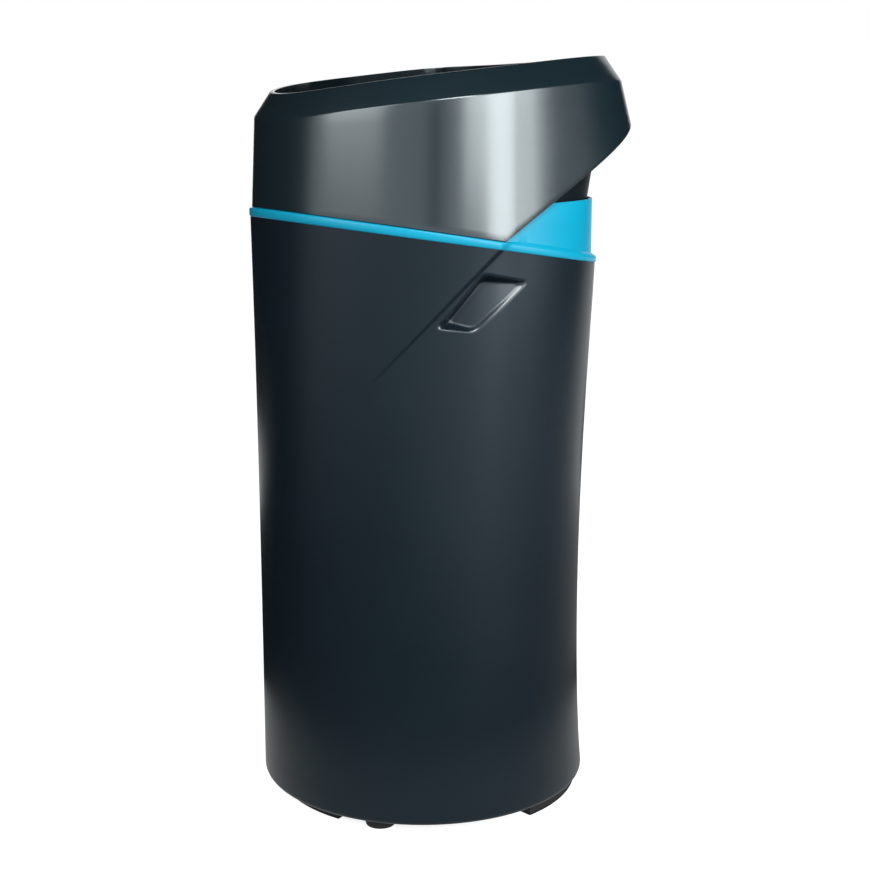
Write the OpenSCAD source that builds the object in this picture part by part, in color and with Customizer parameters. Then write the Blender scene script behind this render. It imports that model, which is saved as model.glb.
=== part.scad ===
// Cabinet water softener: a round salt cabinet with a slanted accent rim, a wedge-shaped lid
// that overhangs at the rear, a hinged salt door, and a resin tank with a motor-driven rotary valve.
// Millimetres. +Z is up, the front faces -Y, and the origin is the centre of the base on the floor.

/* [Cabinet] */
// Radius of the round base, which is also the reach of the front at every height
base_r = 247; // [235:1:255]
// Height of the feet under the cabinet
foot_h = 15; // [10:1:22]
// Half width of the cabinet at the parting line
top_half_w = 279; // [270:1:285]
// Reach of the cabinet to the rear at the parting line
top_rear = 194; // [188:1:200]
// Squareness of the rear corners at the parting line
rear_square = 3.4; // [2.6:0.1:4]
// Wall of the cabinet
cabinet_wall = 4; // [3:0.5:6]
// Floor of the cabinet
cabinet_floor = 6; // [4:0.5:9]
// Radius of the rounded bottom edge
bottom_edge = 9; // [6:1:12]
// Height of the parting line above the resin tank, at the axis
parting_up = 16.75; // [14:0.25:24]
// Fall of the parting line towards the rear, per unit of length
parting_fall = 0.148; // [0.12:0.004:0.17]
// Depth of the carrying pockets
pocket_depth = 26; // [18:1:30]
// Wall around the carrying pockets
pocket_wall = 4; // [3:0.5:6]

/* [Feet] */
// Angle that the front foot pad covers
front_pad_arc = 60; // [40:1:66]
// Angle that each rear foot pad covers
rear_pad_arc = 44; // [20:1:56]
// Radial width of a foot pad
pad_w = 24; // [16:1:32]
// Distance of the front foot pad inside the edge of the base
front_pad_in = 23; // [19:1:32]
// Distance of the rear foot pads inside the edge of the base
rear_pad_in = 11; // [10:1:22]
// Radius of a round foot
round_foot_r = 22; // [16:1:24]
// Distance of the round feet inside the edge of the base
round_foot_in = 36; // [34:1:52]

/* [Accent rim] */
// Height of the band that shows between cabinet and lid, at the axis
band_h = 11; // [8:0.5:13]
// Growth of the band's height towards the front, per unit of length
band_taper = 0.008; // [0:0.001:0.02]
// Step in from the band to the collar
collar_step = 8.2; // [8:0.1:9]
// Wall of the collar
collar_wall = 4; // [3:0.5:6]
// Height of the collar's top edge above the parting line at the axis
collar_h = 61; // [52:1:64]
// Rise of the collar's top edge towards the rear, per unit of length
collar_rise = 0.03; // [0:0.005:0.05]
// Depth of the lip that drops into the cabinet
lip_h = 14; // [10:1:20]

/* [Lid] */
// Height of the top edge of the lid above the parting line at the axis
lid_h = 233.3; // [228:0.1:242]
// Tilt of the top of the lid, in degrees
top_tilt = 6.8; // [6:0.1:8]
// Height of the arch of the lid's top edge and chamfer, from front to rear
lid_crown = 7.5; // [0:0.1:9]
// Reach of the lid's rear wall beyond the cabinet's, at the parting line's height
lid_rear_out = 98; // [92:1:102]
// Lean of the lid's rear wall to the front, up to the chamfer
lid_rear_fall = 66; // [62:1:70]
// Lean of the lid's front wall to the rear, up to the chamfer
lid_front_fall = 10; // [7:1:13]
// Lean of the lid's side walls inwards, up to the chamfer
lid_side_fall = 5; // [3:1:8]
// Squareness of the lid's rear corners
lid_square = 4.5; // [3.6:0.1:5]
// Drop of the chamfer's lower edge below the lid's top edge at the axis
chamfer_h = 32.8; // [28:0.1:37]
// Rise of the chamfer's lower edge towards the rear, per unit of length
chamfer_rise = 0.11; // [0.1:0.002:0.124]
// Width of the chamfer at the front
chamfer_front = 20; // [17:0.5:25]
// Width of the chamfer at the rear
chamfer_rear = 20; // [17:0.5:25]
// Width of the chamfer at the sides
chamfer_side = 30; // [25:1:33]
// Wall of the lid
lid_wall = 3; // [2.5:0.5:3.5]
// Width of the flat lip round the top of the lid
lid_lip = 3; // [2:0.5:4]
// Height of the overhang's edge above the parting line at the axis
overhang_h = 24.5; // [22:0.5:28]
// Rise of the overhang's edge towards the rear, per unit of length
overhang_rise = 0.676; // [0.64:0.004:0.7]
// Thickness of the shroud under the overhang
shroud_wall = 4; // [3:0.5:5]

/* [Salt door and controls] */
// Depth of the tray below the lid's top edge
tray_depth = 26; // [24:0.5:32]
// Wall and floor of the tray
tray_wall = 3; // [2:0.5:4]
// Depth of the door and the fascia below the lid's top edge
deck_depth = 12; // [10:0.5:14]
// Height of the salt door with its skirt
door_t = 9.5; // [8:0.5:11]
// Thickness of the salt door inside its skirt
door_plate = 3; // [2:0.5:4]
// Place of the hinge axis behind the axis of the cabinet
hinge_y = 28.5; // [20:0.5:36]
// Radius of the hinge pins
hinge_pin_r = 2.5; // [2:0.1:3]
// Width of each hinge knuckle
knuckle_w = 30; // [20:1:40]
// Distance of the hinges from the middle
hinge_x = 80; // [60:1:110]
// Thickness of the fascia
fascia_t = 3; // [2:0.5:4]
// Radius of a key
key_r = 7; // [5:0.5:9]
// Travel of a key
key_travel = 1; // [0.6:0.1:1.4]
// Distance between keys
key_pitch = 32; // [22:1:40]
// Width of the display window
display_w = 110; // [80:1:130]
// Height of the display window
display_h = 40; // [30:1:46]

/* [Resin tank] */
// Outer radius of the resin tank
tank_r = 114; // [100:1:118]
// Wall of the resin tank
tank_wall = 4; // [3:0.5:6]
// Height of the resin tank
tank_h = 790; // [770:1:800]
// Place of the tank's axis behind the axis of the cabinet
tank_y = 40; // [30:1:48]
// Bore of the tank's neck
neck_bore_r = 27; // [25:0.5:30]
// Outer radius of the riser tube
riser_r = 13; // [11:0.5:14]
// Wall of the riser tube
riser_wall = 2; // [1.5:0.5:3]

/* [Valve] */
// Outer radius of the valve's drum
drum_r = 52; // [50:1:56]
// Radius of the rotor chamber in the drum
chamber_r = 42; // [38:0.5:43]
// Height of the ports above the resin tank
port_up = 110.75; // [108:0.25:113]
// Distance of each port from the middle
port_x = 36; // [34:1:37]
// Bore of the ports
port_bore_r = 12.5; // [10:0.5:13]
// Outer radius of the valve's port tubes
port_r = 16; // [15:0.5:16]
// Radius of the male ends for the house pipes
pipe_end_r = 16.6; // [16:0.1:18]
// Length of the male ends for the house pipes
pipe_end_l = 23; // [18:1:25]
// Radius of the drain and overflow spigots
spigot_r = 6.5; // [6:0.1:7]
// Length of the drain and overflow spigots
spigot_l = 24; // [18:1:30]
// Length of the drain pipe from the valve to the rear
drain_l = 145; // [135:1:150]
// Travel of the bypass spool
spool_travel = 15; // [10:1:16]
// Module of the gears
gear_m = 2.5; // [2.3:0.05:2.55]
// Teeth of the cam gear
cam_teeth = 36; // [34:1:36]
// Teeth of the motor pinion
pinion_teeth = 12; // [12:1:13]
// Thickness of the gears
gear_t = 10; // [7:0.5:10]

/* [Brine] */
// Outer radius of the brine well
well_r = 48; // [42:1:52]
// Wall of the brine well
well_wall = 2.5; // [2:0.5:4]
// Height of the brine well below the top of the resin tank
well_short = 15; // [5:1:40]
// Radius of the float
float_r = 30; // [22:1:36]
// Height of the float
float_h = 50; // [40:1:70]
// Travel of the float
float_travel = 300; // [200:10:350]
// Radius of the brine pickup tube
pickup_r = 5; // [4:0.5:6]
// Height of the overflow below the parting line
overflow_drop = 188; // [130:1:260]

/* [Fits] */
// Gap between seated shells
seat_gap = 0.25; // [0.1:0.05:0.3]
// Running clearance of a shaft in its bore, on the radius
run_gap = 0.08; // [0.05:0.01:0.1]
// Clearance round a fitted plastic piece
fit_gap = 0.4; // [0.3:0.1:0.6]

/* [Hidden] */
// Number of sides of the curved shells
sides = 72;
$fn = 48;
// Overlap of joined shapes and overrun of cuts
e = 0.5;
// Length of a cut that passes right through, and reach of a cutting plane
through = 60;
far = 800;
angles = [for (i = [0:sides - 1]) 360 * i / sides];
rear_pad_at = 127;
round_foot_turn = 46.5;
// Heights, from the tank up
floor_z = foot_h + cabinet_floor;
tank_z = floor_z + seat_gap;
tank_top = tank_z + tank_h;
parting_z = tank_top + parting_up;
port_z = tank_top + port_up;
well_h = tank_h - well_short;
overflow_z = parting_z - overflow_drop;
collar_z = parting_z + collar_h;
overhang_z = parting_z + overhang_h;
top_z = parting_z + lid_h;
chamfer_z = top_z - chamfer_h;
// Reach of the lid and of its rim
lid_rear_low = top_rear + lid_rear_out;
lid_rear_high = lid_rear_low - lid_rear_fall;
lid_front_high = base_r - lid_front_fall;
lid_half_w_high = top_half_w - lid_side_fall;
rim_front = lid_front_high - chamfer_front;
rim_rear = lid_rear_high - chamfer_rear;
rim_half_w = lid_half_w_high - chamfer_side;
// Neck of the tank
neck_wall = 7;
flange_w = 6;
flange_h = 8;
neck_r = neck_bore_r + neck_wall;
flange_r = neck_r + flange_w;
// Drum of the valve, measured from its ports
drum_below = 37;
drum_above = 33;
chamber_above = 14;
drum_low = port_z - drum_below;
drum_top = port_z + drum_above;
chamber_z = port_z + chamber_above;
shaft_r = 8;
cover_t = 8;
cover_z = drum_top + seat_gap;
// Gears and motor
gear_lift = 3;
gear_gap = 0.15;
motor_lift = 8;
motor_r = 27;
motor_post_y = 24;
gear_z = cover_z + cover_t + gear_lift;
cam_r = gear_m * cam_teeth / 2;
pinion_r = gear_m * pinion_teeth / 2;
motor_x = cam_r + pinion_r + gear_gap;
motor_z = gear_z + gear_t + motor_lift;
// Bypass block and spool
block_y0 = 138;
block_y1 = 206;
block_margin = 2.4;
spool_back = 6;
spool_bore_r = 11;
knob_gap = 2;
knob_l = 12;
notch_room = 8;
block_half = port_x + pipe_end_r + block_margin;
spool_y = (block_y0 + block_y1) / 2 + spool_back;
spool_r = spool_bore_r - run_gap;
notch_half = block_half + knob_gap + knob_l + spool_travel + notch_room;
// Brine well
well_at = [-120, -110];
pickup_short = 46;
float_rest = 130;
pickup_top = floor_z + well_h - pickup_short;
float_low = floor_z + float_rest;
// Tray, hinge, keys and board, measured in the tilted top plane
tray_floor = -tray_depth;
deck = -deck_depth;
hinge_drop = 1;
barrel_wall = 2;
hinge_room = 2;
key_in = 26;
display_in = 48;
board_drop = 5;
board_in = 14;
board_t = 1.6;
board_size = [190, 104];
hinge_z = deck - hinge_drop;
barrel_r = hinge_pin_r + barrel_wall;
fascia_y = hinge_y + barrel_r + hinge_room;
key_y = fascia_y + key_in;
display_y = key_y + display_in;
board_z = deck - fascia_t - board_drop;
board_y = fascia_y + board_in + board_size[1] / 2;
// Wall under the overhang
neck_low_inset = 18.5;
neck_high_inset = 12;
lean_h = 41;
neck_lean_top = collar_z + lean_h;

// Outlines

// Radius at angle a of an outline with its own reach to front, rear and sides; a = 0 is the rear
function outline_r(a, front, rear, half, square) =
    let (c = cos(a), s = sin(a), reach = c > 0 ? rear : front, n = c > 0 ? square : 2)
    pow(pow(abs(c) / reach, n) + pow(abs(s) / half, n), -1 / n);

// Share of the way from the base to the parting line
function up_share(z) = max(0, (z - foot_h) / (parting_z - foot_h));

function grow(z, low, high, power) = low + (high - low) * pow(up_share(z), power);

function body_r(a, z) = outline_r(a, base_r, grow(z, base_r, top_rear, 0.755),
    grow(z, base_r, top_half_w, 3.05), 2 + (rear_square - 2) * pow(up_share(z), 2));

function lid_r(a, z) = let (g = (z - parting_z) / (chamfer_z - parting_z))
    outline_r(a, base_r + (lid_front_high - base_r) * g, lid_rear_low + (lid_rear_high - lid_rear_low) * g,
        top_half_w + (lid_half_w_high - top_half_w) * g, lid_square);

function rim_r(a) = outline_r(a, rim_front, rim_rear, rim_half_w, lid_square);

// Height where the body's wall at angle a meets a plane that rises towards the rear
function body_cut(a, z0, rise, z = undef, n = 5) = let (h = is_undef(z) ? z0 : z)
    n == 0 ? h : body_cut(a, z0, rise, z0 + rise * body_r(a, h) * cos(a), n - 1);

function lid_cut(a, z0, rise, z = undef, n = 6) = let (h = is_undef(z) ? z0 : z)
    n == 0 ? h : lid_cut(a, z0, rise, z0 + rise * lid_r(a, h) * cos(a), n - 1);

function polar(a, r, z) = [r * sin(a), r * cos(a), z];

// A point of the lid's tilted top plane in the frame of the part
function tilted(p) = [p[0], p[1] * cos(top_tilt) - p[2] * sin(top_tilt),
    top_z + p[1] * sin(top_tilt) + p[2] * cos(top_tilt)];

function parting(a) = body_cut(a, parting_z, -parting_fall);
function band_top(a) = body_cut(a, parting_z + band_h, -parting_fall - band_taper);
function overhang(a) = lid_cut(a, overhang_z, overhang_rise);
function lid_low(a) = max(band_top(a) + seat_gap, overhang(a));

// Height of the arch at a place along Y
function arch(y) = lid_crown * (1 - pow(y / rim_front, 4));

// Height of the chamfer's lower edge on the lid's wall
function chamfer(a, z = undef, n = 6) = let (h = is_undef(z) ? chamfer_z : z, y = lid_r(a, h) * cos(a))
    n == 0 ? h : chamfer(a, chamfer_z + chamfer_rise * y + arch(y), n - 1);

// Shells

// Solid through a list of rings with the same number of points: closed on itself, or capped at both ends
module loft(rings, loop = false) {
    n = len(rings[0]);
    m = len(rings);
    points = [for (ring = rings) each ring];
    walls = [for (j = [0:m - (loop ? 1 : 2)], i = [0:n - 1])
        let (low = j * n, high = ((j + 1) % m) * n, k = (i + 1) % n)
        each [[low + i, high + i, high + k], [low + i, high + k, low + k]]];
    caps = loop ? [] : [[for (i = [0:n - 1]) i], [for (i = [n - 1:-1:0]) (m - 1) * n + i]];
    polyhedron(points = points, faces = concat(walls, caps), convexity = 6);
}

// Tube of eight sides along a route
module hose(route, r) {
    m = len(route);
    function along(i) = let (d = route[min(i + 1, m - 1)] - route[max(i - 1, 0)]) d / norm(d);
    function side(d) = let (s = cross(d, abs(d[2]) > 0.9 ? [0, 1, 0] : [0, 0, 1])) s / norm(s);
    loft([for (i = [0:m - 1]) let (d = along(i), u = side(d), v = cross(d, u))
        [for (k = [0:7]) route[i] + r * (cos(45 * k) * u - sin(45 * k) * v)]]);
}

module on_top() {
    translate([0, 0, top_z]) rotate([top_tilt, 0, 0]) children();
}

// Outline of the tray's space in the tilted top plane
module rim_shape(inset) {
    polygon([for (a = angles) let (r = rim_r(a) - inset) [r * sin(a), r * cos(a)]]);
}

module front_of(y) {
    intersection() {
        children();
        translate([-far / 2, y - far]) square([far, far]);
    }
}

module behind(y) {
    intersection() {
        children();
        translate([-far / 2, y]) square([far, far]);
    }
}

module ring(r_out, r_in, h) {
    difference() {
        cylinder(r = r_out, h = h);
        translate([0, 0, -e]) cylinder(r = r_in, h = h + 2 * e);
    }
}

module o_ring(r, t) {
    rotate_extrude() translate([r, 0]) circle(r = t, $fn = 20);
}

// Gear with involute flanks, centred on its axis
module gear(teeth, m, t, backlash = 0.12) {
    pressure = 25;
    rp = m * teeth / 2;
    rb = rp * cos(pressure);
    ra = rp + m;
    rr = rp - 1.2 * m;
    function roll(r) = let (k = sqrt(max(0, r * r / (rb * rb) - 1))) k * 180 / PI - atan(k);
    half = 90 / teeth - backlash / rp * 90 / PI + roll(rp);
    radii = [max(rb, rr + 0.1), (rb + rp) / 2, rp, (rp + ra) / 2, ra];
    function at(r, a) = [r * cos(a), r * sin(a)];
    linear_extrude(t) polygon([for (i = [0:teeth - 1]) let (c = 360 * i / teeth) each concat(
        [at(rr, c - half)],
        [for (r = radii) at(r, c - half + roll(r))],
        [for (k = [4:-1:0]) at(radii[k], c + half - roll(radii[k]))],
        [at(rr, c + half)])]);
}

// Cabinet and feet

// Corners of a carrying pocket, along Y and up from the parting line
pocket_mouth = [for (p = [[-98, -97], [-56, -101], [14, -41], [-40, -32]]) p + [0, parting_z]];
pocket_floor = [for (p = [[-84, -86], [-60, -86], [-14, -48], [-38, -44]]) p + [0, parting_z]];
pocket_reach = 30;

// Wall of the body on the +X side, at a place along Y and a height
function side_x(y, z) = let (r = body_r(atan2(top_half_w, y), z)) sqrt(max(0, r * r - y * y));

// Shape of a carrying pocket, grown by some amount; the mouth stands out of the wall
module pocket(grow_by, reach) {
    mouth_round = 6;
    floor_round = 7;
    floor_t = 1;
    hull() {
        for (p = pocket_mouth) translate([side_x(p[0], p[1]) - mouth_round, p[0], p[1]])
            rotate([0, 90, 0]) cylinder(r = mouth_round + grow_by, h = mouth_round + reach, $fn = 24);
        for (p = pocket_floor) translate([side_x(p[0], p[1]) - pocket_depth - grow_by, p[0], p[1]])
            rotate([0, 90, 0]) cylinder(r = floor_round + grow_by, h = floor_t, $fn = 24);
    }
}

function body_ring(inset, share) = [for (a = angles)
    let (low = foot_h + bottom_edge, z = low + (parting(a) - low) * share) polar(a, body_r(a, z) - inset, z)];

function base_ring(inset, z) = [for (a = angles) polar(a, body_r(a, z) - inset, z)];

body_shares = [0, 0.15, 0.3, 0.45, 0.6, 0.72, 0.82, 0.91, 1];

// Heights between which the carrying pockets lie
pocket_levels = [for (drop = [128, 93, 63, 38, 13]) parting_z - drop];

function outer_rings() = concat(
    [for (t = [90, 60, 30]) base_ring(bottom_edge * (1 - cos(t)), foot_h + bottom_edge * (1 - sin(t)))],
    [for (s = body_shares) body_ring(0, s)]);

module cabinet_wall_shell() {
    inner_low = floor_z + bottom_edge;
    loft(concat(outer_rings(),
        [for (k = [8, 7, 6, 5, 4, 2]) body_ring(cabinet_wall, body_shares[k])],
        [base_ring(cabinet_wall, inner_low), base_ring(cabinet_wall + bottom_edge, floor_z)]));
}

module cabinet() {
    color([0.13, 0.15, 0.17]) difference() {
        union() {
            cabinet_wall_shell();
            intersection() {
                loft([for (z = pocket_levels) base_ring(cabinet_wall / 2, z)]);
                union() for (side = [0, 1]) mirror([side, 0, 0]) pocket(pocket_wall, pocket_reach);
            }
        }
        for (side = [0, 1]) mirror([side, 0, 0]) pocket(0, pocket_reach);
        translate([0, overflow_y - through / 2, overflow_z]) rotate([-90, 0, 0])
            cylinder(r = hole_r, h = through, $fn = 32);
    }
}

module pad(middle, arc_angle, r) {
    rotate([0, 0, middle - 90 - arc_angle / 2]) rotate_extrude(angle = arc_angle, $fn = 96)
        translate([r - pad_w, 0]) square([pad_w, foot_h - seat_gap]);
}

module foot_pads() {
    color([0.07, 0.08, 0.09]) {
        pad(0, front_pad_arc, base_r - front_pad_in);
        for (side = [-1, 1]) pad(side * rear_pad_at, rear_pad_arc, base_r - rear_pad_in);
    }
}

module round_feet() {
    edge = 4;
    toe = 1.2;
    color([0.06, 0.07, 0.08]) for (side = [-1, 1]) rotate([0, 0, side * round_foot_turn])
        translate([0, round_foot_in - base_r, 0]) rotate_extrude() polygon([[0, 0],
            [round_foot_r - edge, 0], [round_foot_r - toe, toe], [round_foot_r, edge],
            [round_foot_r, foot_h - seat_gap], [0, foot_h - seat_gap]]);
}

// Accent rim

lip_inset = cabinet_wall + fit_gap;
collar_in = collar_step + collar_wall;

module accent_rim() {
    least = 6;
    function rim_at(inset, h) = [for (a = angles) let (z = parting(a) + h) polar(a, body_r(a, z) - inset, z)];
    function band_at(inset) = [for (a = angles) let (z = band_top(a)) polar(a, body_r(a, z) - inset, z)];
    function collar_at(inset) = [for (a = angles) let (low = band_top(a),
        z = max(low + least, body_cut(a, collar_z, collar_rise))) polar(a, body_r(a, low) - inset, z)];
    color([0.1, 0.66, 0.86]) loft([rim_at(0, seat_gap), band_at(0), band_at(collar_step),
        collar_at(collar_step), collar_at(collar_in), rim_at(collar_in, -lip_h), rim_at(lip_inset, -lip_h),
        rim_at(lip_inset, seat_gap)], true);
}

// Lid

module lid_shell() {
    lip_depth = 14;
    function wall(share) = [for (a = angles)
        let (low = lid_low(a), z = low + (chamfer(a) - low) * share) polar(a, lid_r(a, z), z)];
    function inner(drop) = [for (a = angles) let (z = chamfer(a) - drop) polar(a, lid_r(a, z) - lid_wall, z)];
    function inner_low() = [for (a = angles) let (z = lid_low(a)) polar(a, lid_r(a, z) - lid_wall, z)];
    function top(inset, z) = [for (a = angles)
        tilted(polar(a, rim_r(a) - inset, z + arch(rim_r(a) * cos(a))))];
    color([0.2, 0.22, 0.24]) loft([wall(0), wall(0.5), wall(1), top(0, 0), top(lid_lip, 0),
        top(lid_lip, -lip_depth), inner(lid_wall), inner_low()], true);
}

// Step in from the collar's outline to the wall under the overhang, which leans out as it rises
function neck_inset(z) = neck_high_inset + (neck_low_inset - neck_high_inset)
    * max(0, min(1, (neck_lean_top - z) / (neck_lean_top - collar_z)));

// Wall under the overhang and the ledge that closes the overhang from below, ending clear of the collar's top
module rear_shroud() {
    clear = 2;
    meet_y = (collar_h - overhang_h) / (overhang_rise - collar_rise) + clear;
    reach = acos(meet_y / top_half_w);
    steps = concat([-reach], [for (a = [-85:5:85]) if (abs(a) < reach - 1) a], [reach]);
    foot_up = 40;
    low = parting_z + foot_up;
    edge = lid_wall + fit_gap;
    shares = [1, 0.7, 0.35, 0];
    function neck(a, z) = body_r(a, parting_z + band_h) - neck_inset(z);
    function section(a) = let (z = overhang(a), high = z + shroud_wall) concat(
        [polar(a, lid_r(a, z) - edge, z)],
        [for (s = shares) let (h = low + (z - low) * s) polar(a, neck(a, h), h)],
        [for (k = [3:-1:0]) let (h = low + (high - low) * shares[k]) polar(a, neck(a, h) - shroud_wall, h)],
        [polar(a, lid_r(a, high) - edge, high)]);
    color([0.12, 0.14, 0.16]) difference() {
        loft([for (a = steps) section(a)]);
        translate([-notch_half, tank_y + drum_r, low - e])
            cube([2 * notch_half, lid_rear_low, drum_top - low + e]);
        translate([socket_x, socket_y - through / 2, socket_z]) rotate([-90, 0, 0])
            cylinder(r = socket_r, h = through);
    }
}

socket_r = 9;
socket_l = 18;
socket_in = 14;
socket_side = 22;
socket_up = 5;
socket_x = notch_half + socket_side;
socket_z = port_z + socket_up;
socket_bearing = atan2(socket_x, top_rear);
socket_y = body_r(socket_bearing, parting_z + band_h) * cos(socket_bearing) - socket_in;

module power_socket() {
    flange_t = 2;
    flange_out = 2;
    bore_r = 3;
    bore_l = 12;
    color([0.05, 0.05, 0.06]) translate([socket_x, socket_y - socket_in - fit_gap, socket_z])
        rotate([-90, 0, 0]) difference() {
            union() {
                cylinder(r = socket_r - fit_gap, h = socket_l);
                translate([0, 0, socket_l]) cylinder(r = socket_r + flange_out, h = flange_t);
            }
            translate([0, 0, socket_l + flange_t - bore_l]) cylinder(r = bore_r, h = bore_l + e);
        }
}

// Tray, door and controls, in the tilted top plane

tray_inset = lid_lip + fit_gap;
tray_in = tray_inset + tray_wall;
hole_margin = 22;
hole_front = 16;
hole_inset = tray_in + hole_margin;
hole_y = hinge_y - hole_front;
post_in = 7;
board_posts = [for (x = [-1, 1], y = [-1, 1])
    [x * (board_size[0] / 2 - post_in), board_y + y * (board_size[1] / 2 - post_in)]];
lug_t = 8;
lug_gap = 0.6;
lug_places = [for (side = [-1, 1], k = [-1, 1]) side * hinge_x + k * (knuckle_w / 2 + lug_gap + lug_t / 2)];
// Clearance of a piece pressed onto a shaft or pin, and of a screw's head over what it holds
press_gap = 0.02;
head_gap = 0.05;

// Length along the hinge axis, centred on a place along X
module on_hinge(x) {
    translate([x, hinge_y, hinge_z]) rotate([0, 90, 0]) children();
}

module top_tray() {
    post_r = 4;
    post_bore_r = 1.55;
    color([0.04, 0.045, 0.05]) on_top() difference() {
        union() {
            difference() {
                translate([0, 0, tray_floor - tray_wall]) linear_extrude(tray_depth + tray_wall)
                    rim_shape(tray_inset);
                translate([0, 0, tray_floor]) linear_extrude(tray_depth + e) rim_shape(tray_in);
            }
            for (x = lug_places) {
                on_hinge(x) cylinder(r = barrel_r, h = lug_t, center = true);
                translate([x - lug_t / 2, hinge_y - barrel_r, tray_floor - e])
                    cube([lug_t, 2 * barrel_r, hinge_z - tray_floor + e]);
            }
            for (p = board_posts) translate([p[0], p[1], tray_floor - e])
                cylinder(r = post_r, h = board_z - board_t - seat_gap - tray_floor + e);
        }
        translate([0, 0, tray_floor - tray_wall - e]) linear_extrude(tray_wall + 2 * e)
            front_of(hole_y) rim_shape(hole_inset);
        for (x = lug_places) on_hinge(x)
            cylinder(r = hinge_pin_r + press_gap, h = lug_t + 2 * e, center = true);
        for (p = board_posts) translate([p[0], p[1], tray_floor + e])
            cylinder(r = post_bore_r, h = tray_depth);
    }
}

module salt_door() {
    gap = tray_in + 2 * fit_gap;
    rear = hinge_y - barrel_r - hinge_room;
    root = 1;
    skirt_in = 1;
    grip_r = 32;
    grip_out = 12;
    color([0.05, 0.055, 0.06]) on_top() difference() {
        union() {
            translate([0, 0, deck - door_t]) linear_extrude(door_t) front_of(rear) rim_shape(gap);
            for (side = [-1, 1]) {
                on_hinge(side * hinge_x) cylinder(r = barrel_r, h = knuckle_w, center = true);
                translate([side * hinge_x - knuckle_w / 2, rear - root, deck - barrel_r])
                    cube([knuckle_w, hinge_y - rear + root, barrel_r]);
            }
        }
        translate([0, 0, deck - door_t - e]) linear_extrude(door_t - door_plate + e)
            front_of(hole_y - skirt_in) rim_shape(hole_inset + skirt_in);
        for (side = [-1, 1]) on_hinge(side * hinge_x)
            cylinder(r = hinge_pin_r + run_gap, h = knuckle_w + 2 * e, center = true);
        translate([0, gap - rim_front - grip_out, deck - door_t - e])
            cylinder(r = grip_r, h = door_t + 2 * e);
    }
}

module hinge_pins() {
    length = knuckle_w + 2 * (lug_gap + lug_t);
    color([0.7, 0.71, 0.73]) on_top() for (side = [-1, 1]) on_hinge(side * hinge_x)
        cylinder(r = hinge_pin_r, h = length, center = true);
}

module door_seal() {
    outer = 6;
    inner = 1;
    color([0.1, 0.1, 0.11]) on_top() translate([0, 0, tray_floor + seat_gap])
        linear_extrude(tray_depth - deck_depth - door_t - 2 * seat_gap) difference() {
            front_of(hole_y + outer) rim_shape(hole_inset - outer);
            front_of(hole_y + inner) rim_shape(hole_inset - inner);
        }
}

key_x = [for (k = [0:3]) (k - 1.5) * key_pitch];

module control_fascia() {
    skirt = 3;
    key_gap = 0.3;
    cut_z = deck - fascia_t - e;
    cut_h = fascia_t + 2 * e;
    color([0.03, 0.033, 0.038]) on_top() difference() {
        union() {
            translate([0, 0, deck - fascia_t]) linear_extrude(fascia_t)
                behind(fascia_y) rim_shape(tray_in + fit_gap);
            translate([0, 0, tray_floor + seat_gap]) linear_extrude(tray_depth - deck_depth - seat_gap)
                front_of(fascia_y + skirt) behind(fascia_y) rim_shape(tray_in + fit_gap);
        }
        for (x = key_x) translate([x, key_y, cut_z]) cylinder(r = key_r + key_gap, h = cut_h);
        translate([-display_w / 2, display_y - display_h / 2, cut_z]) cube([display_w, display_h, cut_h]);
    }
}

module display_window() {
    color([0.1, 0.13, 0.16, 0.6]) on_top() translate([0, display_y, deck - fascia_t / 2])
        cube([display_w - 2 * fit_gap, display_h - 2 * fit_gap, fascia_t - fit_gap], center = true);
}

module display_module() {
    frame_w = 4;
    frame_h = 3;
    depth = deck - fascia_t - board_z - 2 * seat_gap;
    color([0.25, 0.3, 0.32]) on_top() translate([0, display_y, board_z + seat_gap + depth / 2])
        cube([display_w + 2 * frame_w, display_h + 2 * frame_h, depth], center = true);
}

// Round key with a flange that stays under the fascia and a plunger over its switch
module key(k) {
    proud = 1;
    flange_t = 1.2;
    flange_out = 1.5;
    plunger_r = 2.5;
    under = deck - fascia_t - seat_gap;
    low = board_z + key_travel + seat_gap;
    color([0.3, 0.32, 0.34]) on_top() translate([key_x[k], key_y, 0]) {
        translate([0, 0, under - flange_t]) cylinder(r = key_r, h = flange_t + seat_gap + fascia_t + proud);
        translate([0, 0, under - flange_t]) cylinder(r = key_r + flange_out, h = flange_t);
        translate([0, 0, low]) cylinder(r = plunger_r, h = under - flange_t / 2 - low);
    }
}

module control_board() {
    hole_r = 1.7;
    color([0.05, 0.3, 0.16]) on_top() difference() {
        translate([-board_size[0] / 2, board_y - board_size[1] / 2, board_z - board_t])
            cube([board_size[0], board_size[1], board_t]);
        for (p = board_posts) translate([p[0], p[1], board_z - board_t - e])
            cylinder(r = hole_r, h = board_t + 2 * e);
    }
}

module screw(r, length, head_r, head_h) {
    translate([0, 0, -length]) cylinder(r = r, h = length);
    difference() {
        cylinder(r = head_r, h = head_h);
        translate([0, 0, head_h / 2]) cylinder(r = head_r / 2, h = head_h, $fn = 6);
    }
}

module board_screws() {
    bite = 3;
    color([0.75, 0.76, 0.78]) on_top() for (p = board_posts) translate([p[0], p[1], board_z + head_gap])
        screw(r = 1.5, length = board_t + bite, head_r = 2.8, head_h = 2);
}

// Resin tank

function arc(cx, cy, rx, ry, from, to, n = 8) = [for (i = [0:n]) let (t = from + (to - from) * i / n)
    [cx + rx * cos(t), cy + ry * sin(t)]];

module at_tank() {
    translate([0, tank_y, 0]) children();
}

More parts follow.
